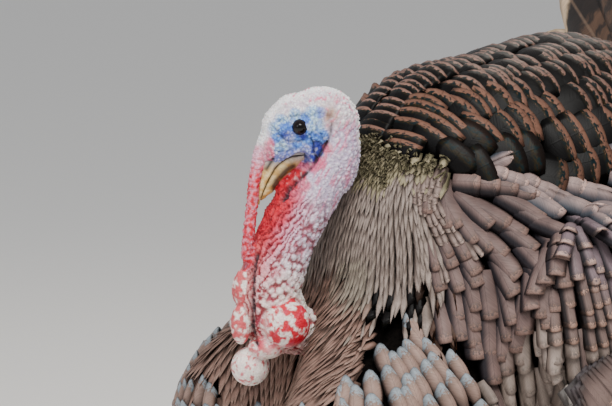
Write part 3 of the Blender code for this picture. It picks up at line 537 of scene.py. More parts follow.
def sculpt_head(piece):
    """Raises and sinks the skin's folds, lids, beads and pebbles, and keeps their height."""
    mesh = piece.data
    points, normals = points_of(mesh), read(mesh.vertex_normals, "vector")
    local = head_local(points)
    flat = local[:, (0, 2)] * 1000
    off = np.abs(local[:, 1])
    sideways = smoothstep(0.004, 0.011, off)
    spine = np.array([curve_point(SNOOD_SPINE, i / 60) for i in range(61)])
    to_snood = np.sqrt(((local[:, None, :] - spine[None]) ** 2).sum(2))
    snood = (1 - smoothstep(0.0072, 0.0088, to_snood.min(1))) * smoothstep(-0.012, -0.020, local[:, 2])
    # Folds and ridges of the face, broken here and there
    move, pit = np.zeros(len(local)), np.zeros(len(local))
    breaks = lumps(6, local, 0.0050, 2)
    for line, width, depth in CREASES:
        near = bell(line_distance(flat, line), width) * sideways * (1 - snood)
        near *= 0.75 + 0.4 * np.clip(breaks, -1, 1)
        move -= near * depth / 1000
        pit = np.maximum(pit, near * min(1.0, max(0.0, depth / 1.8)))
    # Lids: a hollow for the eye and a double rim round it
    height, width, tilt = EYE_OPENING
    turned = flat @ np.array(((math.cos(tilt), -math.sin(tilt)), (math.sin(tilt), math.cos(tilt)))) / 1000
    ring = np.hypot(turned[:, 0] / width, turned[:, 1] / height)
    hollow = (1 - smoothstep(0.70, 1.06, ring)) * sideways
    rim = bell(ring - 1.22, 0.17) * sideways
    fold = bell(ring - 1.62, 0.12) * sideways
    move += rim * 0.0011 - fold * 0.0007
    # The chin draws in beside the lower half of the bill
    bed = (1 - smoothstep(6.6, 8.6, line_distance(flat, BILL_BED))) * (1 - snood)
    # Ear: a small open cup
    ear = np.hypot(local[:, 0] - EAR_PLACE[0], (local[:, 2] - EAR_PLACE[1]) * 0.8)
    cup = bell(ear, 0.0026) * sideways
    move += bell(ear - 0.0050, 0.0014) * sideways * 0.0004 - cup * 0.0022
    # Neck folds that run down and forward
    share, angle = neck_place(local)
    on_neck = smoothstep(0.10, 0.24, share) * (1 - snood)
    bulb = np.zeros(len(local))
    for centre, radius, stretch in BULBS:
        reach = np.linalg.norm((local - np.array(centre)) / (np.array(stretch) * radius), axis=1)
        bulb = np.maximum(bulb, 1 - smoothstep(1.02, 1.20, reach))
    around = np.abs(angle)
    phase = (around + 2.3 * share + 0.22 * lumps(3, local, 0.013, 3)) / 0.205
    broken = lumps(5, np.column_stack((share * 0.22, around * 0.024, local[:, 1])), 0.0085, 3)
    folds = 1 - (1 - np.abs(np.sin(math.pi * phase + 1.3 * broken))) ** 1.6
    behind = smoothstep(1.25, 2.2, around + 0.9 * smoothstep(0.25, 0.7, share))
    fold_weight = on_neck * (1 - behind) * (1 - bulb)
    move += fold_weight * (folds - 0.55) * 0.0034
    # Beads, larger down the neck
    beads = np.array(list(neck_beads(random.Random(11))))
    bead = []
    for part in np.array_split(local, len(local) // 20000 + 1):
        gap = np.sqrt(((part[:, None, :] - beads[None, :, :3]) ** 2).sum(2)) / beads[None, :, 3]
        dome = np.sqrt(np.clip(1 - (gap.min(1) / 0.66) ** 2, 0, 1))
        bead.append(dome * beads[gap.argmin(1), 3] / 0.0085)
    bead = np.concatenate(bead)
    bead_weight = on_neck * behind * (1 - bulb)
    move += bead_weight * (bead * 0.0034 - 0.0012)
    # A cleft down the front, which the colours darken with painted shade over deep red skin
    cleft = bell(around, 0.16) * smoothstep(0.42, 0.52, share) * (1 - smoothstep(0.85, 0.95, share))
    move -= cleft * 0.0030 * (1 - snood)
    # Snood: fine rings
    ripple = np.sin(to_snood.argmin(1) / 60 * 150 + 2.2 * lumps(9, local, 0.006, 2))
    move += snood * ripple * 0.00045
    # Pebbled skin everywhere, coarser on the nape
    rear = smoothstep(0.020, 0.034, local[:, 0])
    pebble = pebbles(local, 0.0029)
    pebble += (pebbles(local, 0.0042) - pebble) * rear
    calm = (1 - np.clip(bulb + snood * 0.6, 0, 1) * 0.85) * smoothstep(1.3, 2.2, ring)
    move += (pebble - 0.5) * (0.00095 + 0.0005 * rear) * calm
    nostril = bell(line_distance(flat, NOSTRIL), 1.5) * smoothstep(0.006, 0.010, off)
    move -= nostril * 0.0016
    inward = np.array(HEAD.to_3x3() @ Vector((0, 1, 0)))
    placed = points + normals * move[:, None]
    placed -= inward * (local[:, 1] * bed * 0.70 + np.sign(local[:, 1]) * hollow * 0.0065)[:, None]
    set_points(mesh, placed)
    high = np.where(bead_weight > 0.5, np.clip(bead * 1.3, 0, 1), pebble)
    high = high * (1 - fold_weight) + folds * fold_weight
    pit = np.maximum(pit, np.maximum(cup * 0.5, nostril))
    tan = bell(ear, 0.0072) * sideways * (1.0 + 0.9 * breaks)
    lids, bulb = rim + fold * 0.6, np.clip(bulb, 0, 1) * (1 - snood)
    for name, values in zip(LAYERS, (high, pit, tan, lids, snood, bulb, cleft)):
        store(mesh, name, np.clip(values, 0, 1))


def paint_head(mesh, settings):
    """Mixes the skin's colours for the head and neck, region by region."""
    local = head_local(points_of(mesh))
    flat = local[:, (0, 2)] * 1000
    off = np.abs(local[:, 1])
    high, pit, ear, lids, snood, bulb, cleft = (
        read(mesh.attributes[name].data, "value", 1)[:, 0] for name in LAYERS
    )
    names = {name for _, _, name in HEAD_PATCHES} | {"beads", "crevice"}
    tone = {name: np.array(getattr(settings, name)[:3]) for name in names}
    # Head: the patches fade into each other
    weights = np.array([
        np.exp(-(((flat - np.array(centre)) ** 2).sum(1)) / (2 * (reach * 0.62) ** 2)) + 1e-9
        for centre, reach, _ in HEAD_PATCHES
    ]) ** 1.8
    head = (weights.T @ np.array([tone[name] for _, _, name in HEAD_PATCHES])) / weights.sum(0)[:, None]
    # Painted shade darkens the furrows between the pebbles, and on the blue skin it also gives the dark veins
    blue = smoothstep(0.02, 0.25, head[:, 2] - head[:, 0])
    furrow_shade = mix(head * np.array((0.60, 0.46, 0.58)), head * np.array((0.20, 0.30, 0.66)), blue)
    head = mix(head, furrow_shade, (1 - high) * (0.80 + 0.05 * blue))
    head = mix(head, tone["crown"], smoothstep(0.25, 0.6, lumps(27, local, 0.0035, 2)) * 0.35)
    # The middle of the crown and forehead has no blue
    crown_share = (1 - smoothstep(0.006, 0.013, off)) * smoothstep(-0.028, -0.012, local[:, 2])
    head = mix(head, tone["crown"], crown_share)
    share, angle = neck_place(local)
    around = np.abs(angle)
    warp = lumps(21, local, 0.016, 3)
    fine = lumps(22, local, 0.0048, 3)
    # Neck: red in front, pink on the side, white with lavender behind
    back = smoothstep(1.0, 2.2, around + 0.35 * warp + 0.45 * share)
    neck = mix(tone["throat"], tone["neck_pink"], smoothstep(0.65, 1.45, around + 0.3 * warp))
    neck = mix(neck, mix(tone["nape"], tone["beads"], smoothstep(0.30, 0.55, share)), back)
    ridge = mix(neck, tone["beads"], 0.55 * smoothstep(0.3, 0.65, share))
    # Down in the folds and between the beads the red is darkened: deep red skin with painted shade
    low = mix(tone["crevice"] * 0.75 + neck * 0.12, tone["throat"], 0.25)
    low = mix(low, neck * 0.18 + tone["throat"] * 0.36, back * (1 - smoothstep(0.35, 0.6, share)))
    neck = mix(low, ridge, smoothstep(0.46, 0.82, high + 0.22 * fine))
    # Bulbs: cream, marbled with bright red
    big = smoothstep(-0.192, -0.178, local[:, 2]) * smoothstep(-0.034, -0.026, local[:, 0])
    ramp = 22 * (local[:, 0] + 0.012) - 22 * (local[:, 2] + 0.163) + 0.20
    marble = smoothstep(-0.25, 0.35, lumps(23, local, 0.0070, 4) * 1.7 + ramp) * big
    speck = smoothstep(0.26, 0.38, lumps(24, local, 0.0038, 2)) * 0.85
    upper = smoothstep(-0.196, -0.184, local[:, 2]) * (1 - big)
    speck = np.maximum(speck, upper * smoothstep(-0.2, 0.2, lumps(29, local, 0.0055, 3)))
    swollen = mix(tone["beads"], tone["throat"], np.clip(np.maximum(marble, speck * 0.9), 0, 1))
    # The cleft takes the crevice colour as painted shade
    neck = mix(mix(neck, swollen, bulb), tone["crevice"], cleft * 0.85)
    shift = smoothstep(0.13, 0.26, share)
    result = mix(head, neck, shift)
    # Pink specks on the crown, and streaks that run down and forward over the nape
    pink = smoothstep(0.36, 0.50, lumps(25, local, 0.0038, 2))
    pink = pink * smoothstep(4, 20, flat[:, 1] + 0.5 * flat[:, 0])
    run = np.column_stack(
        (flat @ np.array((0.50, 0.86)) / 15, flat @ np.array((0.86, -0.50)) / 2.6, local[:, 1] * 60)
    )
    streak = smoothstep(0.05, 0.42, lumps(28, run * 0.01, 0.01, 2))
    streak = streak * smoothstep(14, 24, flat[:, 0] - 0.35 * flat[:, 1])
    streak *= smoothstep(0.006, 0.012, off) * (1 - 0.6 * smoothstep(36, 48, flat[:, 0]))
    rosy = np.maximum(pink, streak) * 0.8 * (1 - shift * 0.6) * (1 - blue)
    result = mix(result, tone["neck_pink"] * np.array((0.95, 0.62, 0.85)), rosy)
    # Snood: mottled red, pink and white
    mottle = smoothstep(-0.45, 0.55, lumps(26, local, 0.0030, 3)) * 0.75
    mottle = np.clip(mottle + 0.75 * smoothstep(-0.050, -0.016, local[:, 2]) - 0.1, 0, 1)
    pale = tone["neck_pink"] * 0.55 + tone["nape"] * 0.45
    result = mix(result, mix(tone["throat"], pale, mottle), snood)
    # Lids are violet and the ear is tan, and painted shade darkens the creases, the ear's cup and the nostril
    result = mix(result, tone["cheek"] * 0.45 + tone["lore"] * 0.55, lids * 0.8 * (1 - shift))
    result = mix(result, shade("#BC967C"), ear * 0.85)
    pit_shade = np.clip(pit * (1.35 + 0.35 * np.clip(fine, -1, 1)), 0, 1)
    result = mix(result, result * 0.04 + np.array((0.004, 0.003, 0.012)), pit_shade**1.3 * 0.96)
    return np.clip(result * (0.93 + 0.09 * np.clip(fine, -1, 1))[:, None], 0.004, 1)


def from_frame(name, nodes, voxel, rounds):
    """Copies nodes of the frame as one closed, even mesh."""
    shape = bmesh.new()
    for node in nodes:
        shape.from_mesh(frame["nodes"][node].data)
    bmesh.ops.remove_doubles(shape, verts=shape.verts, dist=1e-6)
    mesh = bpy.data.meshes.new(name)
    shape.to_mesh(mesh)
    shape.free()
    piece = new_object(name, mesh)
    remesh(piece, voxel, rounds)
    return piece


def coat_form(name, voxel):
    """The frame's torso, thighs and upper arms as one smooth form, out to the feather tips."""
    shape = bmesh.new()
    for node in ("torso", "thigh_left", "thigh_right"):
        shape.from_mesh(frame["nodes"][node].data)
    for side, ((x, y, z), radii) in itertools.product((-1, 1), WING_ARMS):
        ellipsoid(shape, BIRD @ Vector((x, y * side, z)), radii)
    ellipsoid(shape, BIRD @ Vector(TAIL_HUB[0]), TAIL_HUB[1])
    piece = finished(shape, name)
    remesh(piece, voxel, 8)
    return piece


def sculpt_leg(piece):
    """Cuts the leg's skin into scutes: broad plates in front, rings on the toes."""
    mesh = piece.data
    points, normals = points_of(mesh), read(mesh.vertex_normals, "vector")
    side = np.sign(points[:, 1].mean())
    down = points[:, 2]
    in_front = smoothstep(0.1, 0.6, -normals[:, 0])
    on_shank = smoothstep(0.014, 0.026, down)
    plates = np.abs(np.sin(math.pi * (down / 0.0068 + 0.10 * np.sin(normals[:, 1] * 3))))
    ankle = BIRD @ Vector((-0.008, 0.080 * side, 0))
    rings = np.abs(np.sin(math.pi * np.hypot(points[:, 0] - ankle.x, points[:, 1] - ankle.y) / 0.0046))
    shank, toes = 1 - (1 - plates) ** 4, 1 - (1 - rings) ** 4
    above = smoothstep(-0.3, 0.3, normals[:, 2])
    pebble = lumps(31, points, 0.0030, 2)
    raised = on_shank * in_front * (shank - 0.8) * 0.0008 + (1 - on_shank) * above * (toes - 0.8) * 0.0006
    raised += pebble * 0.00022 * (1 - in_front * on_shank)
    raised *= smoothstep(0.0012, 0.0040, down)
    set_points(mesh, points + normals * raised[:, None])
    # The grooves between the scutes keep a low high value, which darkens their colour as painted shade
    groove = on_shank * in_front * (1 - shank) + (1 - on_shank) * above * (1 - toes)
    for name in LAYERS:
        store(mesh, name, np.clip(1 - groove * 0.9 + 0.1 * pebble, 0, 1) * (name == "high"))


def union(base, other):
    """Cuts two closed skins into one."""
    cut = base.modifiers.new("union", "BOOLEAN")
    cut.operation = "UNION"
    cut.solver = "MANIFOLD"
    cut.object = other
    apply_modifiers(base)
    bpy.data.objects.remove(other)


def bare_skin_material():
    """Wet-looking living skin: soft light bleeds through it, with fine pebbles and painted shade in the
    furrows between them.
    """
    made, put, shader = new_material("living_skin_pebbled")
    place = put("TexCoord").outputs["Object"]
    # Pebbles of about 2 mm with pores between them
    cells = put("TexVoronoi:F1", place, Scale=520.0)
    pores = put("TexNoise", place, Scale=1500.0, Detail=3.0)
    rise = put("Math:SUBTRACT", 1.0, put("Math:POWER", cells, 0.75))
    bump = put("Bump", Height=put("Math:ADD", rise, pores), Strength=0.75, Distance=0.0009)
    # Painted shade darkens the skin towards the furrows between the pebbles
    dark = put("MapRange", cells, 0.35, 0.8, 1.0, 0.80)
    skin = put("Mix:MULTIPLY", 1.0, put("Attribute:skin_colour"), dark)
    fill(
        shader, Base_Color=skin, Normal=bump, Roughness=0.48, Specular_IOR_Level=0.45,
        Subsurface_Weight=0.12, Subsurface_Radius=(0.0035, 0.0012, 0.0008), Subsurface_Scale=1.0,
    )
    return made


def down_material():
    """Grey-black down and quill bases that show in the gaps of the coat, darkened to near black as painted
    shade for the gaps.
    """
    made, put, shader = new_material("body_down_grey")
    # Down tufts of about 4 mm
    tufts = put("TexNoise", put("TexCoord").outputs["Object"], Scale=260.0, Detail=5.0, Roughness=0.7)
    ramp = put("ValToRGB", tufts)
    # Near-black stops: dark down deepened into painted shade
    for stop, place, code in zip(ramp.color_ramp.elements, (0.35, 0.75), ("#040303", "#120E0C")):
        stop.color, stop.position = linear(code), place
    bump = put("Bump", Height=tufts, Strength=0.8, Distance=0.003)
    fill(shader, Base_Color=ramp, Normal=bump, Roughness=0.95, Specular_IOR_Level=0.05)
    return made


def scute_material():
    """Dry horny scutes, pinkish grey, paler on the plates than in the painted shade of their grooves."""
    made, put, shader = new_material("leg_scutes_dry")
    place = put("TexCoord").outputs["Object"]
    # Small scales of about 2 mm behind and between the plates
    cells = put("TexVoronoi:F1", place, Scale=480.0)
    grime = put("TexNoise", place, Scale=90.0, Detail=4.0)
    horn = put("Mix:MULTIPLY", 1.0, put("Attribute:skin_colour"), put("MapRange", grime, 0.3, 0.7, 0.72, 1.1))
    bump = put("Bump", Height=cells, Strength=0.35, Distance=0.0006)
    bump.invert = True
    fill(shader, Base_Color=horn, Normal=bump, Roughness=0.55)
    return made


class MESH_OT_turkey_skin(bpy.types.Operator):
    """Builds the one skin of the head, neck, body and legs"""

    bl_idname = "mesh.turkey_skin"
    bl_label = "Skin"

    def execute(self, context):
        settings = context.scene.turkey_skin
        shape = bmesh.new()
        for centre, radii in HEAD_MASSES:
            ellipsoid(shape, HEAD @ Vector(centre), radii, HEAD.to_3x3().to_4x4(), 32, 20)
        tube(shape, NECK_SPINE, NECK_WIDTHS, NECK_DEPTHS)
        rough = finished(shape, "rough_head")
        remesh(rough, settings.head_voxel * 1.6, 9)
        shape = bmesh.new()
        shape.from_mesh(rough.data)
        bpy.data.objects.remove(rough)
        for centre, radius, stretch in BULBS:
            corners = ellipsoid(shape, centre, [radius * s for s in stretch], segments=32, rings=20)
            bmesh.ops.transform(shape, matrix=HEAD, verts=corners)
        tube(shape, SNOOD_SPINE, SNOOD_RADII, SNOOD_RADII, 40, 20)
        head = finished(shape, "turkey_skin")
        remesh(head, settings.head_voxel, 3)
        sculpt_head(head)
        store(head.data, "kind", np.zeros(len(head.data.vertices)))
        body = coat_form("body_skin", settings.body_voxel)
        # The skin lies inside the coat: not at all at the hocks, and deepest under the hump
        points = points_of(body.data)
        hump = smoothstep(*HUMP[0], points[:, 2]) * smoothstep(*HUMP[1], points[:, 0])
        inset = settings.coat_depth * smoothstep(HOCK, FULL_DEPTH, points[:, 2]) * (1 + 0.9 * hump)
        set_points(body.data, points - read(body.data.vertex_normals, "vector") * inset[:, None])
        for name in (*LAYERS, "kind"):
            store(body.data, name, np.full(len(points), float(name == "kind")))
        union(head, body)
        for name in ("left", "right"):
            leg = from_frame("leg_" + name, ("shank_" + name, "foot_" + name), settings.leg_voxel, 3)
            sculpt_leg(leg)
            store(leg.data, "kind", np.full(len(leg.data.vertices), 2.0))
            union(head, leg)
        mesh = head.data
        high, kind = (read(mesh.attributes[name].data, "value", 1) for name in ("high", "kind"))
        # Painted shade darkens the grooves between the scutes, where the high value is low
        legs = np.array(settings.legs[:3])[None, :] * (0.45 + 0.60 * high)
        below = smoothstep(*LEG_COLOURS, points_of(mesh)[:, 2])
        tint(mesh, "skin_colour", mix(paint_head(mesh, settings), legs, below))
        mesh.materials.clear()
        for made in (bare_skin_material(), down_material(), scute_material()):
            mesh.materials.append(made)
        first = [face.vertices[0] for face in mesh.polygons]
        mesh.polygons.foreach_set("material_index", np.rint(kind[first, 0]).astype(np.int32))
        smooth(mesh)
        mesh.update()
        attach(head, "root")
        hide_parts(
            "torso", "thigh_left", "thigh_right", "neck", "head", "snood",
            "shank_left", "shank_right", "foot_left", "foot_right",
        )
        return {"FINISHED"}


def table(text):
    """The words of each line of a table."""
    return [line.split() for line in text.strip().splitlines()]


# Colours of a feather's tip, vane and edge, as nine levels
# The edge colour also serves the body's feathers as painted shade: on the flank towards the head, under the
# feather before and in a line along the tip. The shade colours are near-black and stand for shade.
COLOURS = {name: np.concatenate([shade("#" + code) for code in codes]) for name, *codes in table("""
copper 6A4B3E 040303 030202
rosy 7E5F54 080605 040303
mauve 80675F 6C5955 12141A
pale BC9C92 8C7874 27313A
taupe 978880 8C7E76 655952
olive 9A8F74 8A8068 625C47
breast B08C80 8C8083 4A535B
lobe 868E94 8E766C 131213
striped 957A6E 85695E 45362F
smoke 4E443F 322C29 110E0C
shade 120D0B 070505 040303
thigh 6C5B52 453A34 171412
margin AA948B 8A7871 3A2F2A
ruff 8E8477 80766A 5C534B
orange 7F553F 4C372D 0E0A08
column A98778 6F5D58 0C0D10
slate B09288 75656A 0E1216
belly 5E4E47 352D29 100D0C
flight B7A79B 3A332F 12100F
covert_long CBB4AA 6C5F5C 15171B
covert_middle BFA298 7B6C6A 14171D
covert_short A98C82 756664 14171D
fan_long C9AE8E 4A3527 1B120D
fan_second C3A68A 4F3A2C 1B120D
fan_third C9A78D 5A4030 17100C
fan_short CDA68C 5A4030 17100C
under_long 8A7A6C 3F3630 191513
under_short 7A6C60 38302B 161210
bristle 1A1512 1A1512 1A1512
""")}
# The coat's tracts on one side, from the bird's origin. In millimetres: centre (x, outwards, z) and
# reach. In hundredths: the way its feathers point. In millimetres: a column's width, the space between
# tips and the feather's length. Then its rise in degrees, its kind and its colours.
# The shade tracts lay near-black feathers as painted shade: under the ruff's lower edge and behind the ruff
# over the shoulders.
TRACTS = table("""
-150  50 622 30  71  12  70  32  11 54 32 broad copper
-134  10 647 30  78 -10  60  32   8 50 25 broad rosy
-113  65 640 34  85  12  52  34  13 58 34 broad copper
 -60  95 630 34  89  15  42  34  15 58 34 broad copper
 -33 107 617 34  92  12  36  34  16 60 32 broad copper
  -6 125 595 26  97  15  15  32  16 58 28 broad copper
 -70  25 665 40  92 -10  38  34 8.5 52 24 broad rosy
  10  40 680 50  96 -12  15  34   9 54 22 broad rosy
  90  60 650 55  96   5 -10  34  13 60 18 broad rosy
 160  50 590 55  90   5  20  36  20 70 18 broad rosy
 100 120 560 55  95  10 -15  34  18 65 18 broad rosy
-150  70 602 14  75  20  60  28  22 50 24 broad shade
-115  92 602 20  84  24  49  30  22 52 24 broad shade
 -60 122 592 24  90  20  30  32  22 54 24 broad shade
-181  26 600 16 -13  18 -92 4.5   6 20 11 wisp olive
-172  52 596 18 -11  45 -80 4.5   6 20 11 wisp olive
-188  40 575 20 -11  10 -95 4.5   6 20  9 wisp olive
-155  76 590 14   0  62 -70   6   8 26 13 wisp olive
-203   8 520 30 -16 -10 -94 3.8  15 40 2.5 fine taupe
-195  38 540 26  -6   2 -99 3.8  15 40 2.5 fine taupe
-190  58 515 28   0   4 -100 3.8 15 40 2.5 fine taupe
-178  78 550 22   4  20 -97   4  14 40  3 fine taupe
-172  88 510 20   5  10 -99   4  14 40  3 fine taupe
-158  94 562 15  25  60 -70 8.5   9 32 12 ragged margin
-153 102 532 13  22  50 -84 8.5   9 32 12 ragged margin
-212  45 480 22   2  -6 -100 3.8 14 38  3 fine ruff
-196  72 482 20   2   2 -100 3.8 14 38  3 fine taupe
-206  82 458 12  10   5 -100 14  14 34  6 lance shade
-180 106 462 11  10  10 -100 12  12 34  8 lance shade
-168 112 470 15  16  15 -97   8  11 38 12 lance orange
-155 108 495 18  14  25 -96  17  15 46  8 tube mauve
-127 112 558 18  58  71 -41  19  16 46  9 tube mauve
-103 124 564 13  46  71 -54  20  16 46 10 tube mauve
-111 132 535 18  43  57 -70  19  15 46  8 tube mauve
-122 144 483 34   6   3 -100 18  15 46  7 tube mauve
-140 138 450 26   5   0 -100 18  15 46  7 tube mauve
 -92 119 586 13  30  45 -78  15  11 34  9 plate pale
 -72 130 574 13  34  40 -80  15  11 34  9 plate pale
 -52 140 552 20  14  32 -93  22  17 44  9 plate pale
 -25 144 556 22  20  32 -92  23  18 46  9 plate pale
  20 150 555 35  60  30 -70  25  20 48  9 plate pale
-104 160 523 18  18  31 -93  17  15 46  8 tube mauve
 -98 180 490 20   4   2 -100 16  15 46  8 tube mauve
 -75 195 470 30   8   0 -100 11  14 42  8 tube column
 -50 195 500 30  12   0 -98  13  15 46  8 tube slate
  30 180 480 45  45   5 -88  18  19 55  9 plate mauve
-100 200 390 45  15   0 -98  12  14 44  8 tube taupe
-240  66 440 22 -15 -50 -84 3.8  14 40  3 fine striped
-262  84 412 26 -10 -40 -90 3.8  14 40  3 fine striped
-222 114 432 18 -14   3  99  17  27 44 12 round lobe
-195 140 426 26 -14   1  99  17  27 44 12 round lobe
-238 125 395 26 -16   2  98  17  27 44 12 round lobe
-200 154 405 28 -16  -4  98  17  27 44 12 round lobe
-165 152 432 22 -26 -14  95  17  27 44 12 round lobe
-235  15 440 32   0   0 -100 4.6 12 36  3 fine striped
-255  35 390 32  -5 -20 -97 4.6  12 36  3 fine striped
-262  80 350 46 -20  -2  97  16  22 44  8 round lobe
-200 120 330 60  40  10 -90  18  18 48  9 tube breast
-190  30 270 60  70   5 -70  22  18 50 12 shaggy belly
 -50  60 220 80  97   5 -20  24  18 60 14 shaggy smoke
  40 130 330 70  75  10 -65  24  18 60 14 shaggy smoke
  10 100 250 35  20   0 -98  12  11 42 10 fine thigh
  45  85 205 25  10   0 -100  8   8 26  9 fine thigh
 170  50 370 70  90   5  10  26  20 64 18 shaggy smoke
 120 130 460 60  95  10 -25  30  20 62 15 broad rosy
""")
# For each kind: strips across, faces across each strip, faces along, width at the root, roundness of
# the tip, height of the arch across, curl along, how far down the splits run and a backward sweep.
# The body's own kinds add how much wider they are than their column, and how dark their flank towards the
# head is, a darker web deepened by painted shade.
FORMS = {
    "broad": (1, 6, 6, 0.55, 0.13, 0.08, 0.12, 0.0, 0, 1.36, 0.0),
    "fine": (1, 2, 5, 0.90, 0.55, 0.12, 0.02, 0.0, 0, 1.42, 0.35),
    "lance": (1, 2, 6, 0.60, 0.90, 0.30, 0.16, 0.0, 0, 1.1, 1.0),
    "plate": (1, 6, 6, 0.70, 0.10, 0.30, 0.14, 0.25, 0, 1.12, 0.8),
    "ragged": (2, 2, 5, 0.75, 0.12, 0.18, 0.14, 0.32, 0, 1.4, 0.5),
    "round": (1, 6, 8, 0.60, 0.30, 0.42, 0.36, 0.0, 0, 1.06, 0.45),
    "shaggy": (4, 1, 6, 0.40, 0.45, 0.12, 0.22, 0.55, 0, 1.3, 0.0),
    "tube": (1, 6, 6, 0.85, 0.08, 0.34, 0.07, 0.0, 0, 1.22, 1.0),
    "wisp": (1, 1, 4, 0.90, 0.60, 0.20, 0.60, 0.0, 0, 1.25, 0.2),
}
BODY_KINDS = tuple(FORMS)
FORMS |= {
    "tail": (1, 6, 12, 0.35, 0.16, 0.09, 0.05, 0.06, 0.22),
    "under": (4, 1, 8, 0.40, 0.45, 0.12, 0.10, 0.45, -0.30),
    "flight": (1, 6, 12, 0.50, 0.24, 0.14, 0.12, 0.05, 0.06),
    "bristle": (1, 2, 8, 0.90, 0.60, 0.20, 0.0, 0.0, 6.0),
}
VARIANTS = 3
# Places on the coat that a column may start from, beside the middles of the tracts
STARTS = 1500
# How far a column's last tips reach past its end, as a share of their length
OVERHANG = 0.35
# Side of a feather's patch on the unwrap that its colours are baked by
BAKE_PATCH = 0.003
FEATHER_COLOURS = ("tip_colour", "vane_colour", "edge_colour")


def feather_shape(name, form, seed):
    """One unit feather: width 1 across X, length 1 along Y, its face to +Z, closed and thin."""
    strips, across, rows, root, roundness, arch, curl, split, sweep = form
    rng = random.Random(seed)
    if strips == 1 and split and seed % VARIANTS == 0:
        strips, across = 2, across // 2
    shape = bmesh.new()
    layer = shape.loops.layers.uv.new("Vane")
    places = {}
    for strip in range(strips):
        first, middle = strip / strips, (strip + 0.5) / strips
        shorter = rng.uniform(0.0, 0.10 if strips > 1 else 0.03)
        lean = rng.uniform(-0.05, 0.05) + 0.07 * (strip - (strips - 1) / 2)
        droop = rng.uniform(-0.05, 0.05) if strips > 1 else 0
        rings = []
        for row in range(rows + 1):
            v = (row / rows) ** 0.85
            open_share = max(0.0, (v - (1 - split)) / split) if split else 0.0
            wide = root + (1 - root) * float(smoothstep(0.0, 0.5, v))
            ring = []
            for k in range(across + 1):
                u = first + k / across / strips
                side = 2 * (middle + (u - middle) * (1 - 0.16 * open_share)) - 1
                x = side * 0.5 * wide + lean * open_share**1.5
                far = v * (1 - shorter * open_share) - roundness * side * side * v**3
                z = -arch * (2 * x) ** 2 + curl * (math.sin(math.pi * v * 0.92) - 0.4 * v)
                z += droop * open_share
                ring.append(shape.verts.new((x, far, z - sweep * v * v)))
                places[ring[-1]] = (u, v)
            under = ring[across // 2].co.lerp(ring[(across + 1) // 2].co, 0.5) - Vector((0, 0, 0.022))
            ring.append(shape.verts.new(under))
            places[ring[-1]] = (middle, v)
            rings.append(ring)
        bridge(shape, rings)
    for face in shape.faces:
        face.smooth = len(face.verts) == 4
        for corner in face.loops:
            corner[layer].uv = places[corner.vert]
    bmesh.ops.recalc_face_normals(shape, faces=shape.faces)
    mesh = bpy.data.meshes.new(name)
    shape.to_mesh(mesh)
    shape.free()
    return bpy.data.objects.new(name, mesh)


def feather_shapes(name, kinds):
    """A collection of unit feathers, in the order of their names."""
    shapes = bpy.data.collections.new(name)
    for index, (kind, _) in enumerate(itertools.product(kinds, range(VARIANTS))):
        shapes.objects.link(feather_shape(f"{name}_{index:02d}_{kind}", FORMS[kind][:9], 51 + index))
    return shapes


def drop_shapes(shapes):
    """Removes a collection of unit feathers once they are planted."""
    for piece in list(shapes.objects):
        bpy.data.objects.remove(piece)
    bpy.data.collections.remove(shapes)


def feather_tree(name, templates, material):
    """Geometry nodes that plant a feather on every point, sized and turned by the point's own values."""
    tree = bpy.data.node_groups.new(name, "GeometryNodeTree")
    put, socket = partial(add, tree), tree.interface.new_socket
    socket("Geometry", in_out="INPUT", socket_type="NodeSocketGeometry")
    inputs = [socket(label, in_out="INPUT", socket_type="NodeSocketFloat") for label in ("Width", "Length")]
    socket("Geometry", in_out="OUTPUT", socket_type="NodeSocketGeometry")
    entry = put("NodeGroupInput").outputs
    kind = put("GeometryNodeInputNamedAttribute:INT", "kind")
    turn, size, patch, vane = (
        put("GeometryNodeInputNamedAttribute:FLOAT_VECTOR", key) for key in ("turn", "size", "patch", "Vane")
    )
    factor = put("CombineXYZ", entry["Width"], entry["Length"], entry["Width"])
    planted = put(
        "GeometryNodeInstanceOnPoints", Points=entry["Geometry"], Pick_Instance=True, Instance_Index=kind,
        Instance=put("GeometryNodeCollectionInfo", templates, Separate_Children=True, Reset_Children=True),
        Rotation=put("FunctionNodeEulerToRotation", turn), Scale=put("VectorMath:MULTIPLY", size, factor),
    )
    spot = put("VectorMath:ADD", patch, put("VectorMath:MULTIPLY", vane, (BAKE_PATCH,) * 3))
    real = put("GeometryNodeRealizeInstances", planted)
    unwrapped = put("GeometryNodeStoreNamedAttribute:FLOAT2", Geometry=real, Name="OFBake", Value=spot)
    unwrapped.domain = "CORNER"
    put("NodeGroupOutput", put("GeometryNodeSetMaterial", Geometry=unwrapped, Material=material))
    return tree, [entry.identifier for entry in inputs]


def plant(name, feathers, templates, material, replaced=()):
    """Turns a list of feathers into one mesh piece that rides on the bird."""
    mesh = bpy.data.meshes.new(name)
    mesh.from_pydata([f["root"] for f in feathers], [], [])
    for key in ("turn", "size", "patch", "vary"):
        store(mesh, key, [f[key] for f in feathers], "FLOAT_VECTOR")
    layer = mesh.attributes.new("kind", "INT", "POINT")
    layer.data.foreach_set("value", np.array([f["kind"] for f in feathers], np.int32))
    for key in FEATHER_COLOURS:
        store(mesh, key, [f[key] for f in feathers], "FLOAT_COLOR")
    piece = new_object(name, mesh)
    tree, inputs = feather_tree(name + "_planting", templates, material)
    modifier = piece.modifiers.new("planting", "NODES")
    modifier.node_group = tree
    for key in inputs:
        modifier[key] = 1.0
    apply_modifiers(piece)
    bpy.data.node_groups.remove(tree)
    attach(piece, "root")
    if replaced:
        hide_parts(*replaced)


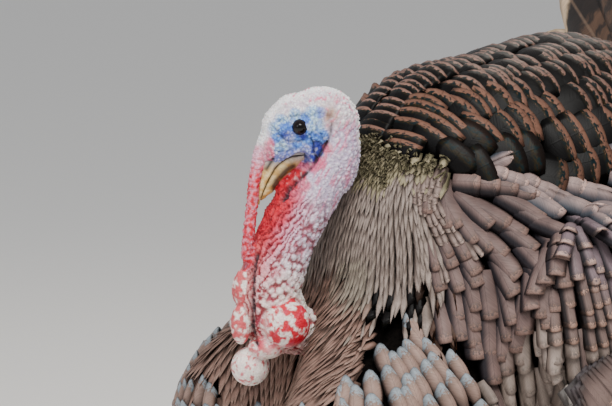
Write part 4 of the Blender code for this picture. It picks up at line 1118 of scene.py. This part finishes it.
class Lie:
    """Reads the coat's direction, sizes and colours at any place, mixed from the tracts."""

    # How fast a tract fades, how far another has to turn from it to count as the other way, and how
    # much more sharply its sizes and colours end than its direction
    fade, turned, sharpness = 1.25, -0.2, 5

    def __init__(self):
        numbers = np.array([[float(word) for word in row[:11]] for row in TRACTS])
        self.centres = numbers[:, :3] / 1000
        self.reach = 2 * (numbers[:, 3] / 1000) ** 2
        lies = numbers[:, 4:7] / 100
        self.lies = lies / np.linalg.norm(lies, axis=1)[:, None]
        self.sizes = np.column_stack((numbers[:, 7:10] / 1000, np.radians(numbers[:, 10])))
        self.kinds = np.array([row[11] for row in TRACTS])
        self.colours = np.array([COLOURS[row[12]] for row in TRACTS])
        self.origin = np.array(BIRD.translation)

    def at(self, point, normal):
        """Direction, (width, step, length, rise), the nearest tract and the weights of its own kind."""
        place = np.array(point) - self.origin
        side = 1.0 if place[1] > 0 else -1.0
        place[1] = abs(place[1])
        weight = np.exp(-((self.centres - place) ** 2).sum(1) / self.reach * self.fade) + 1e-12
        weight /= weight.sum()
        best = int(weight.argmax())
        # A tract that points the other way bends the line without turning it round
        way = (weight * np.where(self.lies @ self.lies[best] < self.turned, -1.0, 1.0)) @ self.lies
        way[1] *= side
        normal = np.array(normal)
        way = way - normal * (way @ normal)
        way /= np.linalg.norm(way) + 1e-9
        weight = weight**self.sharpness
        weight /= weight.sum()
        return way, weight @ self.sizes, best, weight * (self.kinds == self.kinds[best])


class Columns:
    """Rows of evenly spaced lines over the coat, each following the lie of the feathers."""

    # Sides of the grid's cells and length of a step, then the most steps that a line takes each way
    cell, stride, longest = 0.02, 0.004, 160
    # In widths of a column: how near a line comes to an older one before it ends, how much room its
    # start needs and how much a single feather needs. Then its shortest length, in tips.
    gap, room, space, shortest = 0.62, 0.92, 0.66, 1.2

    def __init__(self, form, lie):
        faces = [tuple(face.vertices) for face in form.data.polygons]
        self.bvh = BVHTree.FromPolygons([corner.co.copy() for corner in form.data.vertices], faces)
        self.lie, self.grid, self.lines, self.waiting = lie, {}, [], []

    def read(self, place):
        """The nearest spot on the coat, its normal and all that the tracts say there."""
        spot, normal, _, _ = self.bvh.find_nearest(place)
        return (spot, normal, *self.lie.at(spot, normal))

    def keep(self, place):
        """Notes a place as taken."""
        self.grid.setdefault(tuple(int(c // self.cell) for c in place), []).append(tuple(place))

    def closed(self, place, gap):
        """Whether a place lies below the hocks, or nearer than the gap to an older line."""
        if place[2] < HOCK:
            return True
        x, y, z = place
        i, j, k = (int(c // self.cell) for c in place)
        for key in itertools.product((i - 1, i, i + 1), (j - 1, j, j + 1), (k - 1, k, k + 1)):
            for qx, qy, qz in self.grid.get(key, ()):
                if (qx - x) ** 2 + (qy - y) ** 2 + (qz - z) ** 2 < gap * gap:
                    return True
        return False

    def walk(self, place, sense):
        """Follows the lie from a place, one way, until it meets another line."""
        path = []
        for _ in range(self.longest):
            entry = spot, _, way, sizes, _, _ = self.read(place)
            if path and way @ path[-1][2] < 0.1:
                break
            if self.closed(spot, self.gap * sizes[0] if path else 0):
                break
            path.append(entry)
            place = spot + Vector(way) * (self.stride * sense)
        return path

    def draw(self, start):
        """Adds the line through a place, if there is room."""
        spot, _, _, sizes, _, _ = self.read(start)
        if self.closed(spot, self.room * sizes[0]):
            return
        line = self.walk(spot, -1)[::-1] + self.walk(spot, 1)[1:]
        if len(line) * self.stride < self.shortest * sizes[1]:
            return
        for entry in line:
            self.keep(entry[0])
        self.lines.append(line)
        for spot, normal, way, sizes, _, _ in line[::3]:
            across = Vector(way).cross(normal).normalized() * sizes[0]
            self.waiting += [spot + across, spot - across]

    def cover(self, seeds):
        """Draws lines from the seeds outwards until the coat is full."""
        for seed in seeds:
            self.draw(seed)
        while self.waiting:
            self.draw(self.waiting.pop(0))

    def fill(self, vertices):
        """Single feathers in the gaps that no column reaches."""
        singles = []
        for vertex in vertices:
            entry = spot, _, _, sizes, best, _ = self.read(vertex.co)
            if not self.closed(spot, self.space * min(sizes[0], self.lie.sizes[best, 0])):
                singles.append([entry])
                self.keep(spot)
        return singles


def patch_of(point):
    """The root's place on an unwrap of the body: round its long axis, and along it."""
    place = Vector(point) - BIRD.translation
    angle = math.atan2(place.y, place.z - 0.44) / (2 * math.pi) + 0.5
    return (0.02 + 0.94 * angle, 0.02 + 0.94 * min(1.0, max(0.0, (place.x + 0.36) / 0.75)), 0)


def feather_at(place, way, normal, size, rise, kind, colours, rng, twist=0.0, bare=0.4, lean=0.0):
    """The values that plant one feather: where, how turned, how large and how coloured.

    Its own random draw, the share of it that is bare of other feathers and how dark its flank towards the
    head is, a darker web deepened by painted shade, go together in one value."""
    way, normal = Vector(way).normalized(), Vector(normal).normalized()
    along = way * math.cos(rise) + normal * math.sin(rise)
    face = normal * math.cos(rise) - way * math.sin(rise)
    turn = Matrix((along.cross(face), along, face)).transposed()
    if twist:
        turn = turn @ Matrix.Rotation(twist, 3, "Y")
    light = rng.uniform(0.90, 1.10)
    parts = [tuple(min(1.0, c * light) for c in colours[i : i + 3]) + (1.0,) for i in (0, 3, 6)]
    return {
        "root": tuple(place),
        "turn": tuple(turn.to_euler()),
        "size": size,
        "patch": patch_of(place),
        "kind": kind,
        **dict(zip(FEATHER_COLOURS, parts)),
        "vary": (rng.random(), bare, lean * (1 if turn[0][0] < 0 else -1)),
    }


def vane_nodes(name, slope, draws, barbs, blotches):
    """The start of a feather's material: its colours, its places across and along, and two noises."""
    made, put, shader = new_material(name)
    colours = [put("Attribute:" + label) for label in FEATHER_COLOURS]
    vary = put("SeparateXYZ", put("Attribute:vary").outputs["Vector"]).outputs
    flat = put("SeparateXYZ", put("UVMap:Vane")).outputs
    across = put("Math:SUBTRACT", flat["X"], 0.5)
    off = put("Math:ABSOLUTE", across)
    slant = put("Math:MULTIPLY_ADD", off, slope, flat["Y"])
    draw = put("Math:MULTIPLY", vary["X"], draws)
    noises = []
    # Barbs run out and forward from the shaft, drawn about 1 mm apart so that they show
    for wide, far, slanted, detail in ((3.0, barbs, True, 2.0), (*blotches, 3.0)):
        ahead = put("Math:MULTIPLY", slant if slanted else flat["Y"], far)
        place = put("CombineXYZ", put("Math:MULTIPLY", flat["X"], wide), ahead, draw)
        noises.append(put("TexNoise", place, Scale=1.0, Detail=detail))
    return made, put, shader, colours, vary, flat["Y"], across, off, slant, noises


def contour_material():
    """Contour feathers: satin keratin vanes of fine barbs, with a pale tip band and dark bases, and with
    painted shade and a painted sheen in their colours.
    """
    made, put, shader, (tip, vane, edge), vary, v, across, off, _, (streak, speck) = vane_nodes(
        "contour_feather_vane", -0.55, 60.0, 34.0, (11.0, 22.0, False)
    )
    # How far along its bare part a place on the feather is: 1 at the tip
    hidden = put("Math:DIVIDE", put("Math:SUBTRACT", 1.0, v), vary["Y"])
    shown = put("Math:SUBTRACT", 1.0, hidden)
    # Dark up to where the feather before it ends, darker bases deepened by the painted shade of that feather,
    # then the vane
    strong = put("Math:MULTIPLY", put("Math:ABSOLUTE", vary["Z"]), 0.72)
    body = put("Mix", put("MapRange:SMOOTHSTEP", shown, -0.35, 0.30, strong), edge, vane)
    # A painted sheen of old gold and teal, standing for iridescence, shows in patches ahead of the band
    painted_sheen = put("Mix", put("MapRange", speck, 0.42, 0.58), linear("#0E3238"), linear("#57461A"))
    where = put("MapRange", shown, 0.45, 0.75, 0, 0.30)
    # The tip band has a broken edge, the flank towards the head is blue-black, a darker web deepened by
    # painted shade, and a painted shadow line ends it
    ragged = put("Math:MULTIPLY_ADD", put("Math:SUBTRACT", speck, 0.5), 0.9, shown)
    band = put("MapRange:SMOOTHSTEP", ragged, 0.68, 0.80)
    flank = put("MapRange:SMOOTHSTEP", put("Math:MULTIPLY", across, vary["Z"]), 0.0, 0.30, 0, 0.92)
    end = put("MapRange:SMOOTHSTEP", v, 0.975, 0.995, 0, 0.4)
    shaft = put("MapRange", off, 0.006, 0.022, 0.3, 0.0)
    for share, over in ((where, painted_sheen), (band, tip), (flank, edge), (end, edge), (shaft, edge)):
        body = put("Mix", share, body, over)
    body = put("Mix:MULTIPLY", 1.0, body, put("MapRange", streak, 0.30, 0.70, 0.82, 1.12))
    bump = put("Bump", Height=put("Math:MULTIPLY_ADD", streak, 0.8, shaft), Strength=0.4, Distance=0.0006)
    fill(shader, Base_Color=body, Normal=bump, Roughness=0.46, Specular_IOR_Level=0.11)
    return made


def barred_material(name, wander, cycles, pale, soft):
    """Stiff vanes crossed by bars: mottled brown in the tail, white on the wing."""
    made, put, shader, (tip, vane, edge), _, v, _, off, slant, (streak, wobble) = vane_nodes(
        name, -0.16, 50.0, 150.0, (7.0, 24.0, True)
    )
    phase = put("Math:MULTIPLY_ADD", slant, cycles, put("Math:MULTIPLY", wobble, wander))
    bar = put("MapRange:SMOOTHSTEP", put("Math:SINE", phase), 0.5 - soft, 0.5 + soft)
    body = put("Mix", bar, vane, linear(pale) if pale else edge)
    before = put("Math:MULTIPLY_ADD", wobble, 0.05, v)
    shaft = put("MapRange", off, 0.010, 0.030, 0.6, 0.0)
    # A dark band, the pale end and the shaft
    body = put("Mix", put("MapRange:SMOOTHSTEP", before, 0.80, 0.83), body, edge)
    body = put("Mix", put("MapRange:SMOOTHSTEP", before, 0.905, 0.935), body, tip)
    body = put("Mix", shaft, body, linear("#6B5646"))
    body = put("Mix:MULTIPLY", 1.0, body, put("MapRange", streak, 0.3, 0.7, 0.76, 1.18))
    bump = put("Bump", Height=put("Math:MULTIPLY_ADD", streak, 0.7, shaft), Strength=0.5, Distance=0.0008)
    fill(shader, Base_Color=body, Normal=bump, Roughness=0.5, Specular_IOR_Level=0.4)
    return made


def region_of(place, kind):
    """The piece that a body feather belongs to."""
    if kind in ("fine", "ragged", "wisp") and place.z > 0.46:
        return "ruff"
    return ("back" if place.x > -0.02 else "front") + ("_left" if place.y < 0 else "_right")


class MESH_OT_turkey_coat(bpy.types.Operator):
    """Lays the body feathers in columns over the skin"""

    bl_idname = "mesh.turkey_coat"
    bl_label = "Body feathers"

    def execute(self, context):
        settings = context.scene.turkey_plumage
        rng = random.Random(settings.seed)
        form = coat_form("coat_form", 0.008)
        lie = Lie()
        columns = Columns(form, lie)
        seeds = [BIRD @ Vector((x, y * side, z)) for x, y, z in lie.centres for side in (-1, 1)]
        vertices = list(form.data.vertices)
        rng.shuffle(vertices)
        columns.cover(seeds + [corner.co.copy() for corner in vertices[:STARTS]])
        feathers = {}
        for line in columns.lines + columns.fill(vertices):
            column = len(line) > 1
            last = (len(line) - 1) * columns.stride
            reach = rng.uniform(0.3, 1.0) * line[0][3][1] if column else line[0][3][2]
            while True:
                # The tip's place gives a feather its looks, and its root lies its own length further back
                _, _, _, sizes, best, weight = line[min(len(line) - 1, int(reach / columns.stride))]
                width, step, long, rise = sizes
                if reach > last + (OVERHANG if column else 1.0) * long:
                    break
                back = reach - long
                spot, _, way, *_ = line[min(len(line) - 1, max(0, int(back / columns.stride)))]
                if back < 0:
                    long = max(0.5 * long, reach)
                    spot = spot + Vector(way) * (reach - long)
                reach += step / settings.fullness
                kind = str(lie.kinds[best])
                wider, flank = FORMS[kind][9:]
                colours = weight @ lie.colours / weight.sum()
                long *= rng.uniform(0.92, 1.08)
                spot, normal, _, _ = columns.bvh.find_nearest(spot)
                rise *= rng.uniform(0.85, 1.15)
                # The root lies under the skin and the tip rests on the coat's own surface
                root = spot - normal * max(0.004, long * math.sin(rise) - 0.001)
                rest, over, _, _ = columns.bvh.find_nearest(spot + Vector(way) * (long * math.cos(rise)))
                along = rest + over * 0.001 - root
                face = normal + over
                face -= along * (face @ along) / along.length_squared
                size = (width * wider, long, width * wider)
                planted_kind = "fine" if kind == "wisp" else kind
                number = BODY_KINDS.index(planted_kind) * VARIANTS + rng.randrange(VARIANTS)
                made = feathers.setdefault(region_of(spot - BIRD.translation, kind), [])
                made.append(feather_at(
                    root, along, face, size, 0, number, colours, rng, rng.uniform(-0.06, 0.06),
                    min(0.9, 1.1 * step / long), flank,
                ))
                # Loose hairs over the fluffy part of the ruff
                for _ in range(2 if kind == "wisp" else 0):
                    strayed = way + np.array([rng.gauss(0, 0.45) for _ in range(3)])
                    hair = (0.0016, long * rng.uniform(0.7, 1.1), 0.004)
                    number = BODY_KINDS.index("wisp") * VARIANTS + rng.randrange(VARIANTS)
                    pale = colours * rng.uniform(0.8, 1.7)
                    made.append(feather_at(
                        spot - normal * 0.001, strayed, normal, hair, 0.25, number, pale, rng
                    ))
        shapes = feather_shapes("body_feather", BODY_KINDS)
        material = contour_material()
        for region, planted in feathers.items():
            plant("plumage_" + region, planted, shapes, material)
        drop_shapes(shapes)
        bpy.data.objects.remove(form)
        return {"FINISHED"}


TAIL_LEAN = math.radians(11)
FAN_SPREAD = math.radians(190)
# Tiers of the fan: count, share of the spread, length, half width, depth behind the root, kind, colours
FAN_TIERS = (
    (18, 1.00, 0.375, 0.0390, 0.0000, "tail", "fan_long"),
    (15, 0.90, 0.250, 0.0340, -0.0085, "tail", "fan_second"),
    (13, 0.84, 0.178, 0.0320, -0.0150, "tail", "fan_third"),
    (11, 0.76, 0.140, 0.0310, -0.0215, "tail", "fan_short"),
    (11, 0.70, 0.185, 0.0380, 0.0150, "under", "under_long"),
    (9, 0.60, 0.120, 0.0360, 0.0230, "under", "under_short"),
)
FLIGHT_ANGLES = ((0, 10), (0.42, 36), (1, 78))
FLIGHT_LENGTHS = ((0, 0.284), (0.28, 0.325), (0.55, 0.268), (1, 0.140))
# The last joint of the hand, the wrist and the elbow
WING_BONES = ((-0.082, 0.300), (-0.095, 0.425), (0.070, 0.500))
# Tiers of the wing: count, first and last place along the arm, share of the flight length,
# half width, how far out and colours
WING_TIERS = (
    (20, 0.00, 1.00, 1.00, 0.0220, 0.0000, "flight"),
    (17, 0.03, 0.97, 0.50, 0.0200, 0.0085, "covert_long"),
    (20, 0.04, 0.96, 0.33, 0.0155, 0.0140, "covert_middle"),
    (25, 0.04, 0.96, 0.23, 0.0115, 0.0180, "covert_short"),
    (31, 0.03, 0.98, 0.16, 0.0085, 0.0215, "column"),
)


def wing_surface(x, z):
    """How far from the middle the wing's feathers lie at a place on its side."""
    low, high = max(0.0, 0.42 - z), max(0.0, z - 0.42)
    return 0.190 + 0.026 * low / 0.42 - 0.22 * high - 0.9 * max(0.0, x - 0.08) ** 2


def arm_point(share):
    """A place along the arm, from the last joint of the hand to the elbow."""
    (x0, z0), (x1, z1) = WING_BONES[:2] if share < 0.4 else WING_BONES[1:]
    t = share / 0.4 if share < 0.4 else (share - 0.4) / 0.6
    return x0 + (x1 - x0) * t, z0 + (z1 - z0) * t


class MESH_OT_turkey_tail(bpy.types.Operator):
    """Fans the tail feathers and their coverts"""

    bl_idname = "mesh.turkey_tail"
    bl_label = "Tail"

    def execute(self, context):
        rng = random.Random(21)
        kinds = ("tail", "under")
        shapes = feather_shapes("tail_feather", kinds)
        rise = Vector((math.sin(TAIL_LEAN), 0, math.cos(TAIL_LEAN)))
        back = Vector((math.cos(TAIL_LEAN), 0, -math.sin(TAIL_LEAN)))
        feathers = []
        for count, share, long, half, depth, kind, colours in FAN_TIERS:
            for place in (number - (count - 1) / 2 for number in range(count)):
                angle = place / count * FAN_SPREAD * share
                outward = rise * math.cos(angle) + Vector((0, 1, 0)) * math.sin(angle)
                step = 0.0008 * (abs(place) + (1.5 if place < 0 else 0))
                root = BIRD @ (Vector(TAIL_HUB[0]) + outward * 0.020 + back * (depth + step))
                reach = long * (1 - 0.07 * (2 * place / count) ** 2) * rng.uniform(0.985, 1.0)
                face = back * (1 if kind == "under" else -1)
                pick = kinds.index(kind) * VARIANTS + rng.randrange(VARIANTS)
                feathers.append(feather_at(
                    root, outward, face, (half * 2, reach, half * 2), 0, pick, COLOURS[colours], rng,
                    rng.uniform(-0.05, 0.05) + 0.05 * (1 if place > 0 else -1),
                ))
        material = barred_material("tail_feather_mottled", 9.0, 95.0, None, 0.8)
        plant("tail_fan", feathers, shapes, material, ("tail",))
        drop_shapes(shapes)
        return {"FINISHED"}


class MESH_OT_turkey_wings(bpy.types.Operator):
    """Lays the flight feathers and coverts of both wings"""

    bl_idname = "mesh.turkey_wings"
    bl_label = "Wings"

    def execute(self, context):
        flight = barred_material("flight_feather_barred", 1.6, 46.0, "#B9AEA6", 0.35)
        coverts = bpy.data.materials["contour_feather_vane"]
        shapes = feather_shapes("wing_feather", ("flight",))
        for side, name in ((-1, "left"), (1, "right")):
            rng = random.Random(31)
            feathers = []
            for count, first, last, share, half, out, colours in WING_TIERS:
                for number in range(count):
                    place = first + (last - first) * number / (count - 1)
                    x, z = arm_point(place)
                    angle = math.radians(value_at(FLIGHT_ANGLES, place))
                    reach = value_at(FLIGHT_LENGTHS, place) * share * rng.uniform(0.97, 1.03)
                    far_x, far_z = x + math.sin(angle) * reach, z - math.cos(angle) * reach
                    layer = out + 0.0144 * (1 - place)
                    root = Vector((x, side * (wing_surface(x, z) + layer - 0.008), z))
                    way = Vector((far_x, side * (wing_surface(far_x, far_z) + layer), far_z)) - root
                    face = Vector((0, side, 0))
                    face = (face - way.normalized() * face.dot(way.normalized())).normalized()
                    feathers.append(feather_at(
                        BIRD @ root, way, face, (half * 2, way.length, half * 2), 0, rng.randrange(VARIANTS),
                        COLOURS[colours], rng, side * rng.uniform(0.04, 0.12), 0.85,
                    ))
            count = WING_TIERS[0][0]
            plant("wing_flight_" + name, feathers[:count], shapes, flight, ("wing_" + name,))
            plant("wing_coverts_" + name, feathers[count:], shapes, coverts)
        drop_shapes(shapes)
        return {"FINISHED"}


def horn_material(name, roughness, grain):
    """Keratin horn: satin, with growth lines and a worn tip."""
    made, put, shader = new_material(name)
    # Growth lines of about 1 mm
    lines = put("TexNoise", put("TexCoord").outputs["Object"], Scale=grain, Detail=4.0, Roughness=0.6)
    worn = put("MapRange", lines, 0.3, 0.7, 0.80, 1.12)
    horn = put("Mix:MULTIPLY", 1.0, put("Attribute:horn_colour"), worn)
    bump = put("Bump", Height=lines, Strength=0.25, Distance=0.0005)
    fill(
        shader, Base_Color=horn, Normal=bump, Roughness=roughness,
        Subsurface_Weight=0.08, Subsurface_Radius=(0.002, 0.0012, 0.0006), Subsurface_Scale=1.0,
    )
    return made


# The line of the mouth in the head's frame, from its corner to the tip of the bill
MOUTH = (
    (0.0048, 0, -0.0243), (-0.0063, 0, -0.0252), (-0.0135, 0, -0.0292), (-0.0202, 0, -0.0358),
    (-0.0256, 0, -0.0462), (-0.0300, 0, -0.0570), (-0.0318, 0, -0.0665),
)
# The dark smudge on the lower half, as (x, z) in millimetres from the eye
SMUDGE = ((-5, -33.5), (-11.5, -39), (-17, -45.5), (-20.5, -52))
# Which way each half of the bill lies from the mouth line, where it ends, and its height and half
# width at shares of that line
BILL_HALVES = {
    "bill_upper": (
        1, 1.0,
        ((0, 0.0060), (0.15, 0.0100), (0.45, 0.0125), (0.75, 0.0100), (0.92, 0.0058), (1.0, 0.0014)),
        ((0, 0.0090), (0.15, 0.0098), (0.5, 0.0082), (0.8, 0.0052), (1.0, 0.0012)),
    ),
    "bill_lower": (
        -1, 0.93,
        ((0, 0.0060), (0.12, 0.0122), (0.45, 0.0130), (0.75, 0.0086), (0.88, 0.0040), (0.93, 0.0012)),
        ((0, 0.0085), (0.12, 0.0096), (0.5, 0.0074), (0.82, 0.0045), (0.93, 0.0014)),
    ),
}


def bill_half(name, sign, last, heights, halves, rings=72, sides=22):
    """The upper or lower half of the bill: flat along the mouth, rounded on its back."""
    shape = bmesh.new()
    made = []
    for level in range(rings):
        share = last * level / (rings - 1)
        point = curve_point(MOUTH, share)
        along = curve_point(MOUTH, min(1, share + 0.03)) - curve_point(MOUTH, max(0, share - 0.03))
        along.normalize()
        up = Vector((along.z, 0, -along.x)) * sign
        height, half = value_at(heights, share), value_at(halves, share)
        ring = []
        for angle in (math.pi * k / (sides - 1) for k in range(sides)):
            across = Vector((0, math.cos(angle) * half, 0))
            ring.append(shape.verts.new(HEAD @ (point + across + up * (math.sin(angle) * height + 0.0003))))
        made.append(ring)
    bridge(shape, made)
    return finished(shape, name)


class MESH_OT_turkey_bill(bpy.types.Operator):
    """Shapes the two halves of the bill"""

    bl_idname = "mesh.turkey_bill"
    bl_label = "Bill"

    def execute(self, context):
        material = horn_material("bill_horn_satin", 0.42, 900.0)
        yellow, pale, dark, grey = map(shade, ("#C0954A", "#DFC58E", "#29231F", "#A5A5AC"))
        for node, measures in BILL_HALVES.items():
            piece = bill_half(node + "_horn", *measures)
            mesh = piece.data
            local = head_local(points_of(mesh))
            flat = local[:, (0, 2)] * 1000
            fine = lumps(41, local, 0.004, 3)
            horn = mix(yellow, pale, smoothstep(-0.4, 0.5, fine))
            if node == "bill_upper":
                horn = mix(horn, grey, smoothstep(-40, -28, flat[:, 1]) * 0.8)
                # Painted shade in the nostril
                horn = mix(horn, dark * 0.4, bell(line_distance(flat, NOSTRIL), 1.6))
            else:
                horn = mix(horn, grey, smoothstep(-33, -27, flat[:, 1]) * 0.6)
                low = bell(line_distance(flat, SMUDGE), 3.0) * (1.3 + 0.7 * fine)
                horn = mix(horn, dark, np.clip(low, 0, 1) * 0.92)
            # Painted shade along the mouth line, where the two halves meet
            lip = bell(line_distance(flat, [(x * 1000, z * 1000) for x, _, z in MOUTH]), 0.6)
            tint(mesh, "horn_colour", mix(horn, dark * 0.5, lip * 0.9))
            smooth(mesh)
            mesh.materials.append(material)
            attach(piece, "root")
            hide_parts(node)
        return {"FINISHED"}


# A way in which no two corners or faces of a sphere lie level
SLANT = Vector((0.437, 0.291, 0.851))


class MESH_OT_turkey_eyes(bpy.types.Operator):
    """Sets the two wet dark eyes in their lids"""

    bl_idname = "mesh.turkey_eyes"
    bl_label = "Eyes"

    def execute(self, context):
        made, put, shader = new_material("eye_cornea_wet")
        # A tear film over the cornea gives one sharp highlight
        fill(shader, Base_Color=put("Attribute:eye_colour"), Roughness=0.08, Specular_IOR_Level=0.28)
        pupil, iris, rim = map(shade, ("#050404", "#0D0605", "#150E11"))
        for node, middle, side in (("eye_left", LEFT_EYE, -1), ("eye_right", RIGHT_EYE, 1)):
            shape = bmesh.new()
            outward = (HEAD.to_3x3() @ Vector((-0.20, side, 0.04))).normalized()
            turn = outward.to_track_quat("Z", "Y").to_matrix().to_4x4()
            bmesh.ops.create_uvsphere(shape, u_segments=48, v_segments=32, radius=EYE_RADIUS)
            # Blender's sphere comes in another order each run, so it is put in a fixed one
            shape.verts.sort(key=lambda corner: corner.co.dot(SLANT))
            shape.faces.sort(key=lambda face: face.calc_center_median().dot(SLANT))
            bands = []
            for spot in (corner.co for corner in shape.verts):
                off_axis = math.hypot(spot.x, spot.y) / EYE_RADIUS if spot.z > 0 else 1.0
                spot.z += 0.0006 * float(1 - smoothstep(0.35, 0.62, off_axis))
                band = mix(pupil, iris, smoothstep(0.36, 0.44, off_axis))
                bands.append(mix(band, rim, smoothstep(0.62, 0.72, off_axis)))
            bmesh.ops.transform(shape, matrix=Matrix.Translation(middle) @ turn, verts=shape.verts)
            piece = finished(shape, node + "_ball")
            tint(piece.data, "eye_colour", bands)
            smooth(piece.data)
            piece.data.materials.append(made)
            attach(piece, "root")
            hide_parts(node)
        return {"FINISHED"}


class MESH_OT_turkey_horn(bpy.types.Operator):
    """Shapes the claws and spurs"""

    bl_idname = "mesh.turkey_horn"
    bl_label = "Claws and spurs"

    def execute(self, context):
        material = horn_material("claw_horn_satin", 0.38, 700.0)
        claws = sorted(node for node in frame["nodes"] if node.startswith("claw_"))
        for name, nodes in (("claws_horn", claws), ("spurs_horn", ["spur_left", "spur_right"])):
            piece = from_frame(name, nodes, 0.0006, 4)
            mesh = piece.data
            fine = lumps(51, points_of(mesh), 0.005, 3)
            tint(mesh, "horn_colour", mix(shade("#2B221D"), shade("#7A6654"), smoothstep(-0.2, 0.6, fine)))
            smooth(mesh)
            mesh.materials.append(material)
            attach(piece, "root")
            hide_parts(*nodes)
        return {"FINISHED"}


class MESH_OT_turkey_beard(bpy.types.Operator):
    """Hangs the breast's tuft of coarse bristles"""

    bl_idname = "mesh.turkey_beard"
    bl_label = "Beard"

    def execute(self, context):
        made, put, shader = new_material("beard_bristle_keratin")
        # Dust and wear vary from bristle to bristle, over about 4 mm
        wear = put("TexNoise", put("TexCoord").outputs["Object"], Scale=250.0, Detail=3.0)
        worn = put("Mix", put("MapRange", wear, 0.3, 0.7), linear("#0B0908"), linear("#2A201A"))
        fill(shader, Base_Color=worn, Roughness=0.42)
        rng = random.Random(61)
        low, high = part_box("beard")
        shapes = feather_shapes("beard_bristle", ("bristle",))
        feathers = []
        middle, width = (low.y + high.y) / 2, (high.y - low.y) * 0.5
        for _ in range(170):
            across, depth = rng.uniform(-0.5, 0.5), rng.uniform(0, 1)
            root = Vector((high.x - 0.006 - 0.012 * depth, middle + across * width, high.z - 0.004))
            way = Vector((-0.42 - 0.20 * depth, across * 0.16 + rng.uniform(-0.03, 0.03), -1))
            long = (high.z - low.z) * rng.uniform(0.80, 1.02)
            feathers.append(feather_at(
                root, way, Vector((-1, 0, 0)), (0.0022, long, 0.0022), 0, rng.randrange(VARIANTS),
                COLOURS["bristle"], rng, rng.uniform(-0.8, 0.8),
            ))
        plant("beard_bristles", feathers, shapes, made, ("beard",))
        drop_shapes(shapes)
        return {"FINISHED"}


# Where the eye and the middle of the picture are, in pixels of a picture 612 wide and 406 high
EYE_PIXEL = (300, 127)
PICTURE_MIDDLE = (306, 203)
PIXELS_PER_METRE = 1200
LIGHTS = (
    ("soft_top", (-0.9, -1.5, 3.0), 2.2, 146, "#FFFDF8"),
    ("soft_front", (-2.6, -0.4, 1.6), 1.6, 18, "#F4F7FF"),
    ("soft_back", (1.8, 1.6, 2.2), 1.4, 16, "#FFF4E6"),
)


def floor_material(settings):
    """Matt painted studio board, with the faint grain of a roller."""
    made, put, shader = new_material("studio_board_painted")
    grain = put("TexNoise", put("TexCoord").outputs["Object"], Scale=60.0, Detail=3.0)
    board = put("Mix:MULTIPLY", 1.0, settings.floor, put("MapRange", grain, 0, 1, 0.97, 1.0))
    fill(shader, Base_Color=board, Roughness=0.85)
    return made


class SCENE_OT_turkey_stage(bpy.types.Operator):
    """Sets the floor, the soft lights and the camera"""

    bl_idname = "scene.turkey_stage"
    bl_label = "Stage"

    def execute(self, context):
        settings = context.scene.turkey_stage
        scene = context.scene
        shape = bmesh.new()
        bmesh.ops.create_grid(shape, x_segments=8, y_segments=8, size=40.0)
        floor = finished(shape, "floor")
        if floor.data.polygons[0].normal.z < 0:
            floor.data.flip_normals()
        floor.data.materials.append(floor_material(settings))
        floor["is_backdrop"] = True
        azimuth, elevation = settings.azimuth, settings.elevation
        right = Vector((math.cos(azimuth), math.sin(azimuth), 0))
        level = math.cos(elevation)
        forward = Vector((-math.sin(azimuth) * level, math.cos(azimuth) * level, -math.sin(elevation)))
        up = right.cross(forward)
        aim = LEFT_EYE - right * ((EYE_PIXEL[0] - PICTURE_MIDDLE[0]) / PIXELS_PER_METRE)
        aim -= up * ((PICTURE_MIDDLE[1] - EYE_PIXEL[1]) / PIXELS_PER_METRE)
        lens = bpy.data.cameras.new("camera")
        camera = new_object("camera", lens)
        turn = Matrix((right, up, -forward)).transposed().to_4x4()
        camera.matrix_world = Matrix.Translation(aim - forward * settings.distance) @ turn
        lens.angle = 2 * math.atan(settings.reach / settings.distance)
        scene.camera = camera
        scene.world = bpy.data.worlds.new("studio")
        scene.world.use_nodes = True
        fill(scene.world.node_tree.nodes["Background"], Color=linear("#EEF1F6"), Strength=0.60)
        for name, place, size, power, code in LIGHTS:
            made = bpy.data.lights.new(name, "AREA")
            made.shape = "DISK"
            made.size = size
            made.energy = power
            made.color = linear(code)[:3]
            light = new_object(name, made)
            light.location = place
            light.rotation_euler = (Vector((0, 0, 0.5)) - Vector(place)).to_track_quat("-Z", "Y").to_euler()
        return {"FINISHED"}


OPERATORS = (
    MESH_OT_turkey_skin,
    MESH_OT_turkey_bill,
    MESH_OT_turkey_eyes,
    MESH_OT_turkey_coat,
    MESH_OT_turkey_wings,
    MESH_OT_turkey_tail,
    MESH_OT_turkey_beard,
    MESH_OT_turkey_horn,
    SCENE_OT_turkey_stage,
)
SETTINGS = {
    "turkey_skin": SkinSettings,
    "turkey_plumage": PlumageSettings,
    "turkey_stage": StageSettings,
}


class VIEW3D_PT_turkey(bpy.types.Panel):
    """Lists the bird's pieces and their settings"""

    bl_label = "Turkey"
    bl_space_type = "VIEW_3D"
    bl_region_type = "UI"
    bl_category = "Turkey"

    def draw(self, context):
        for name, group in SETTINGS.items():
            box = self.layout.box()
            for setting in group.__annotations__:
                box.prop(getattr(context.scene, name), setting)
        for operator in OPERATORS:
            self.layout.operator(operator.bl_idname)


def register():
    """Registers the classes and puts the settings on the scene."""
    for made in (*SETTINGS.values(), *OPERATORS, VIEW3D_PT_turkey):
        bpy.utils.register_class(made)
    for name, group in SETTINGS.items():
        setattr(bpy.types.Scene, name, PointerProperty(type=group))


def unregister():
    """Takes the classes and the settings away again."""
    for name in SETTINGS:
        delattr(bpy.types.Scene, name)
    for made in (*SETTINGS.values(), *OPERATORS, VIEW3D_PT_turkey):
        bpy.utils.unregister_class(made)


def main():
    """Builds the whole bird and its stage, and measures its size."""
    register()
    for operator in OPERATORS:
        group, name = operator.bl_idname.split(".")
        getattr(getattr(bpy.ops, group), name)()
    boxes = {"cad": CAD_BOX, "visual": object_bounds()}
    plain = {name: [[float(v) for v in corner] for corner in box] for name, box in boxes.items()}


if __name__ == "__main__":
    main()
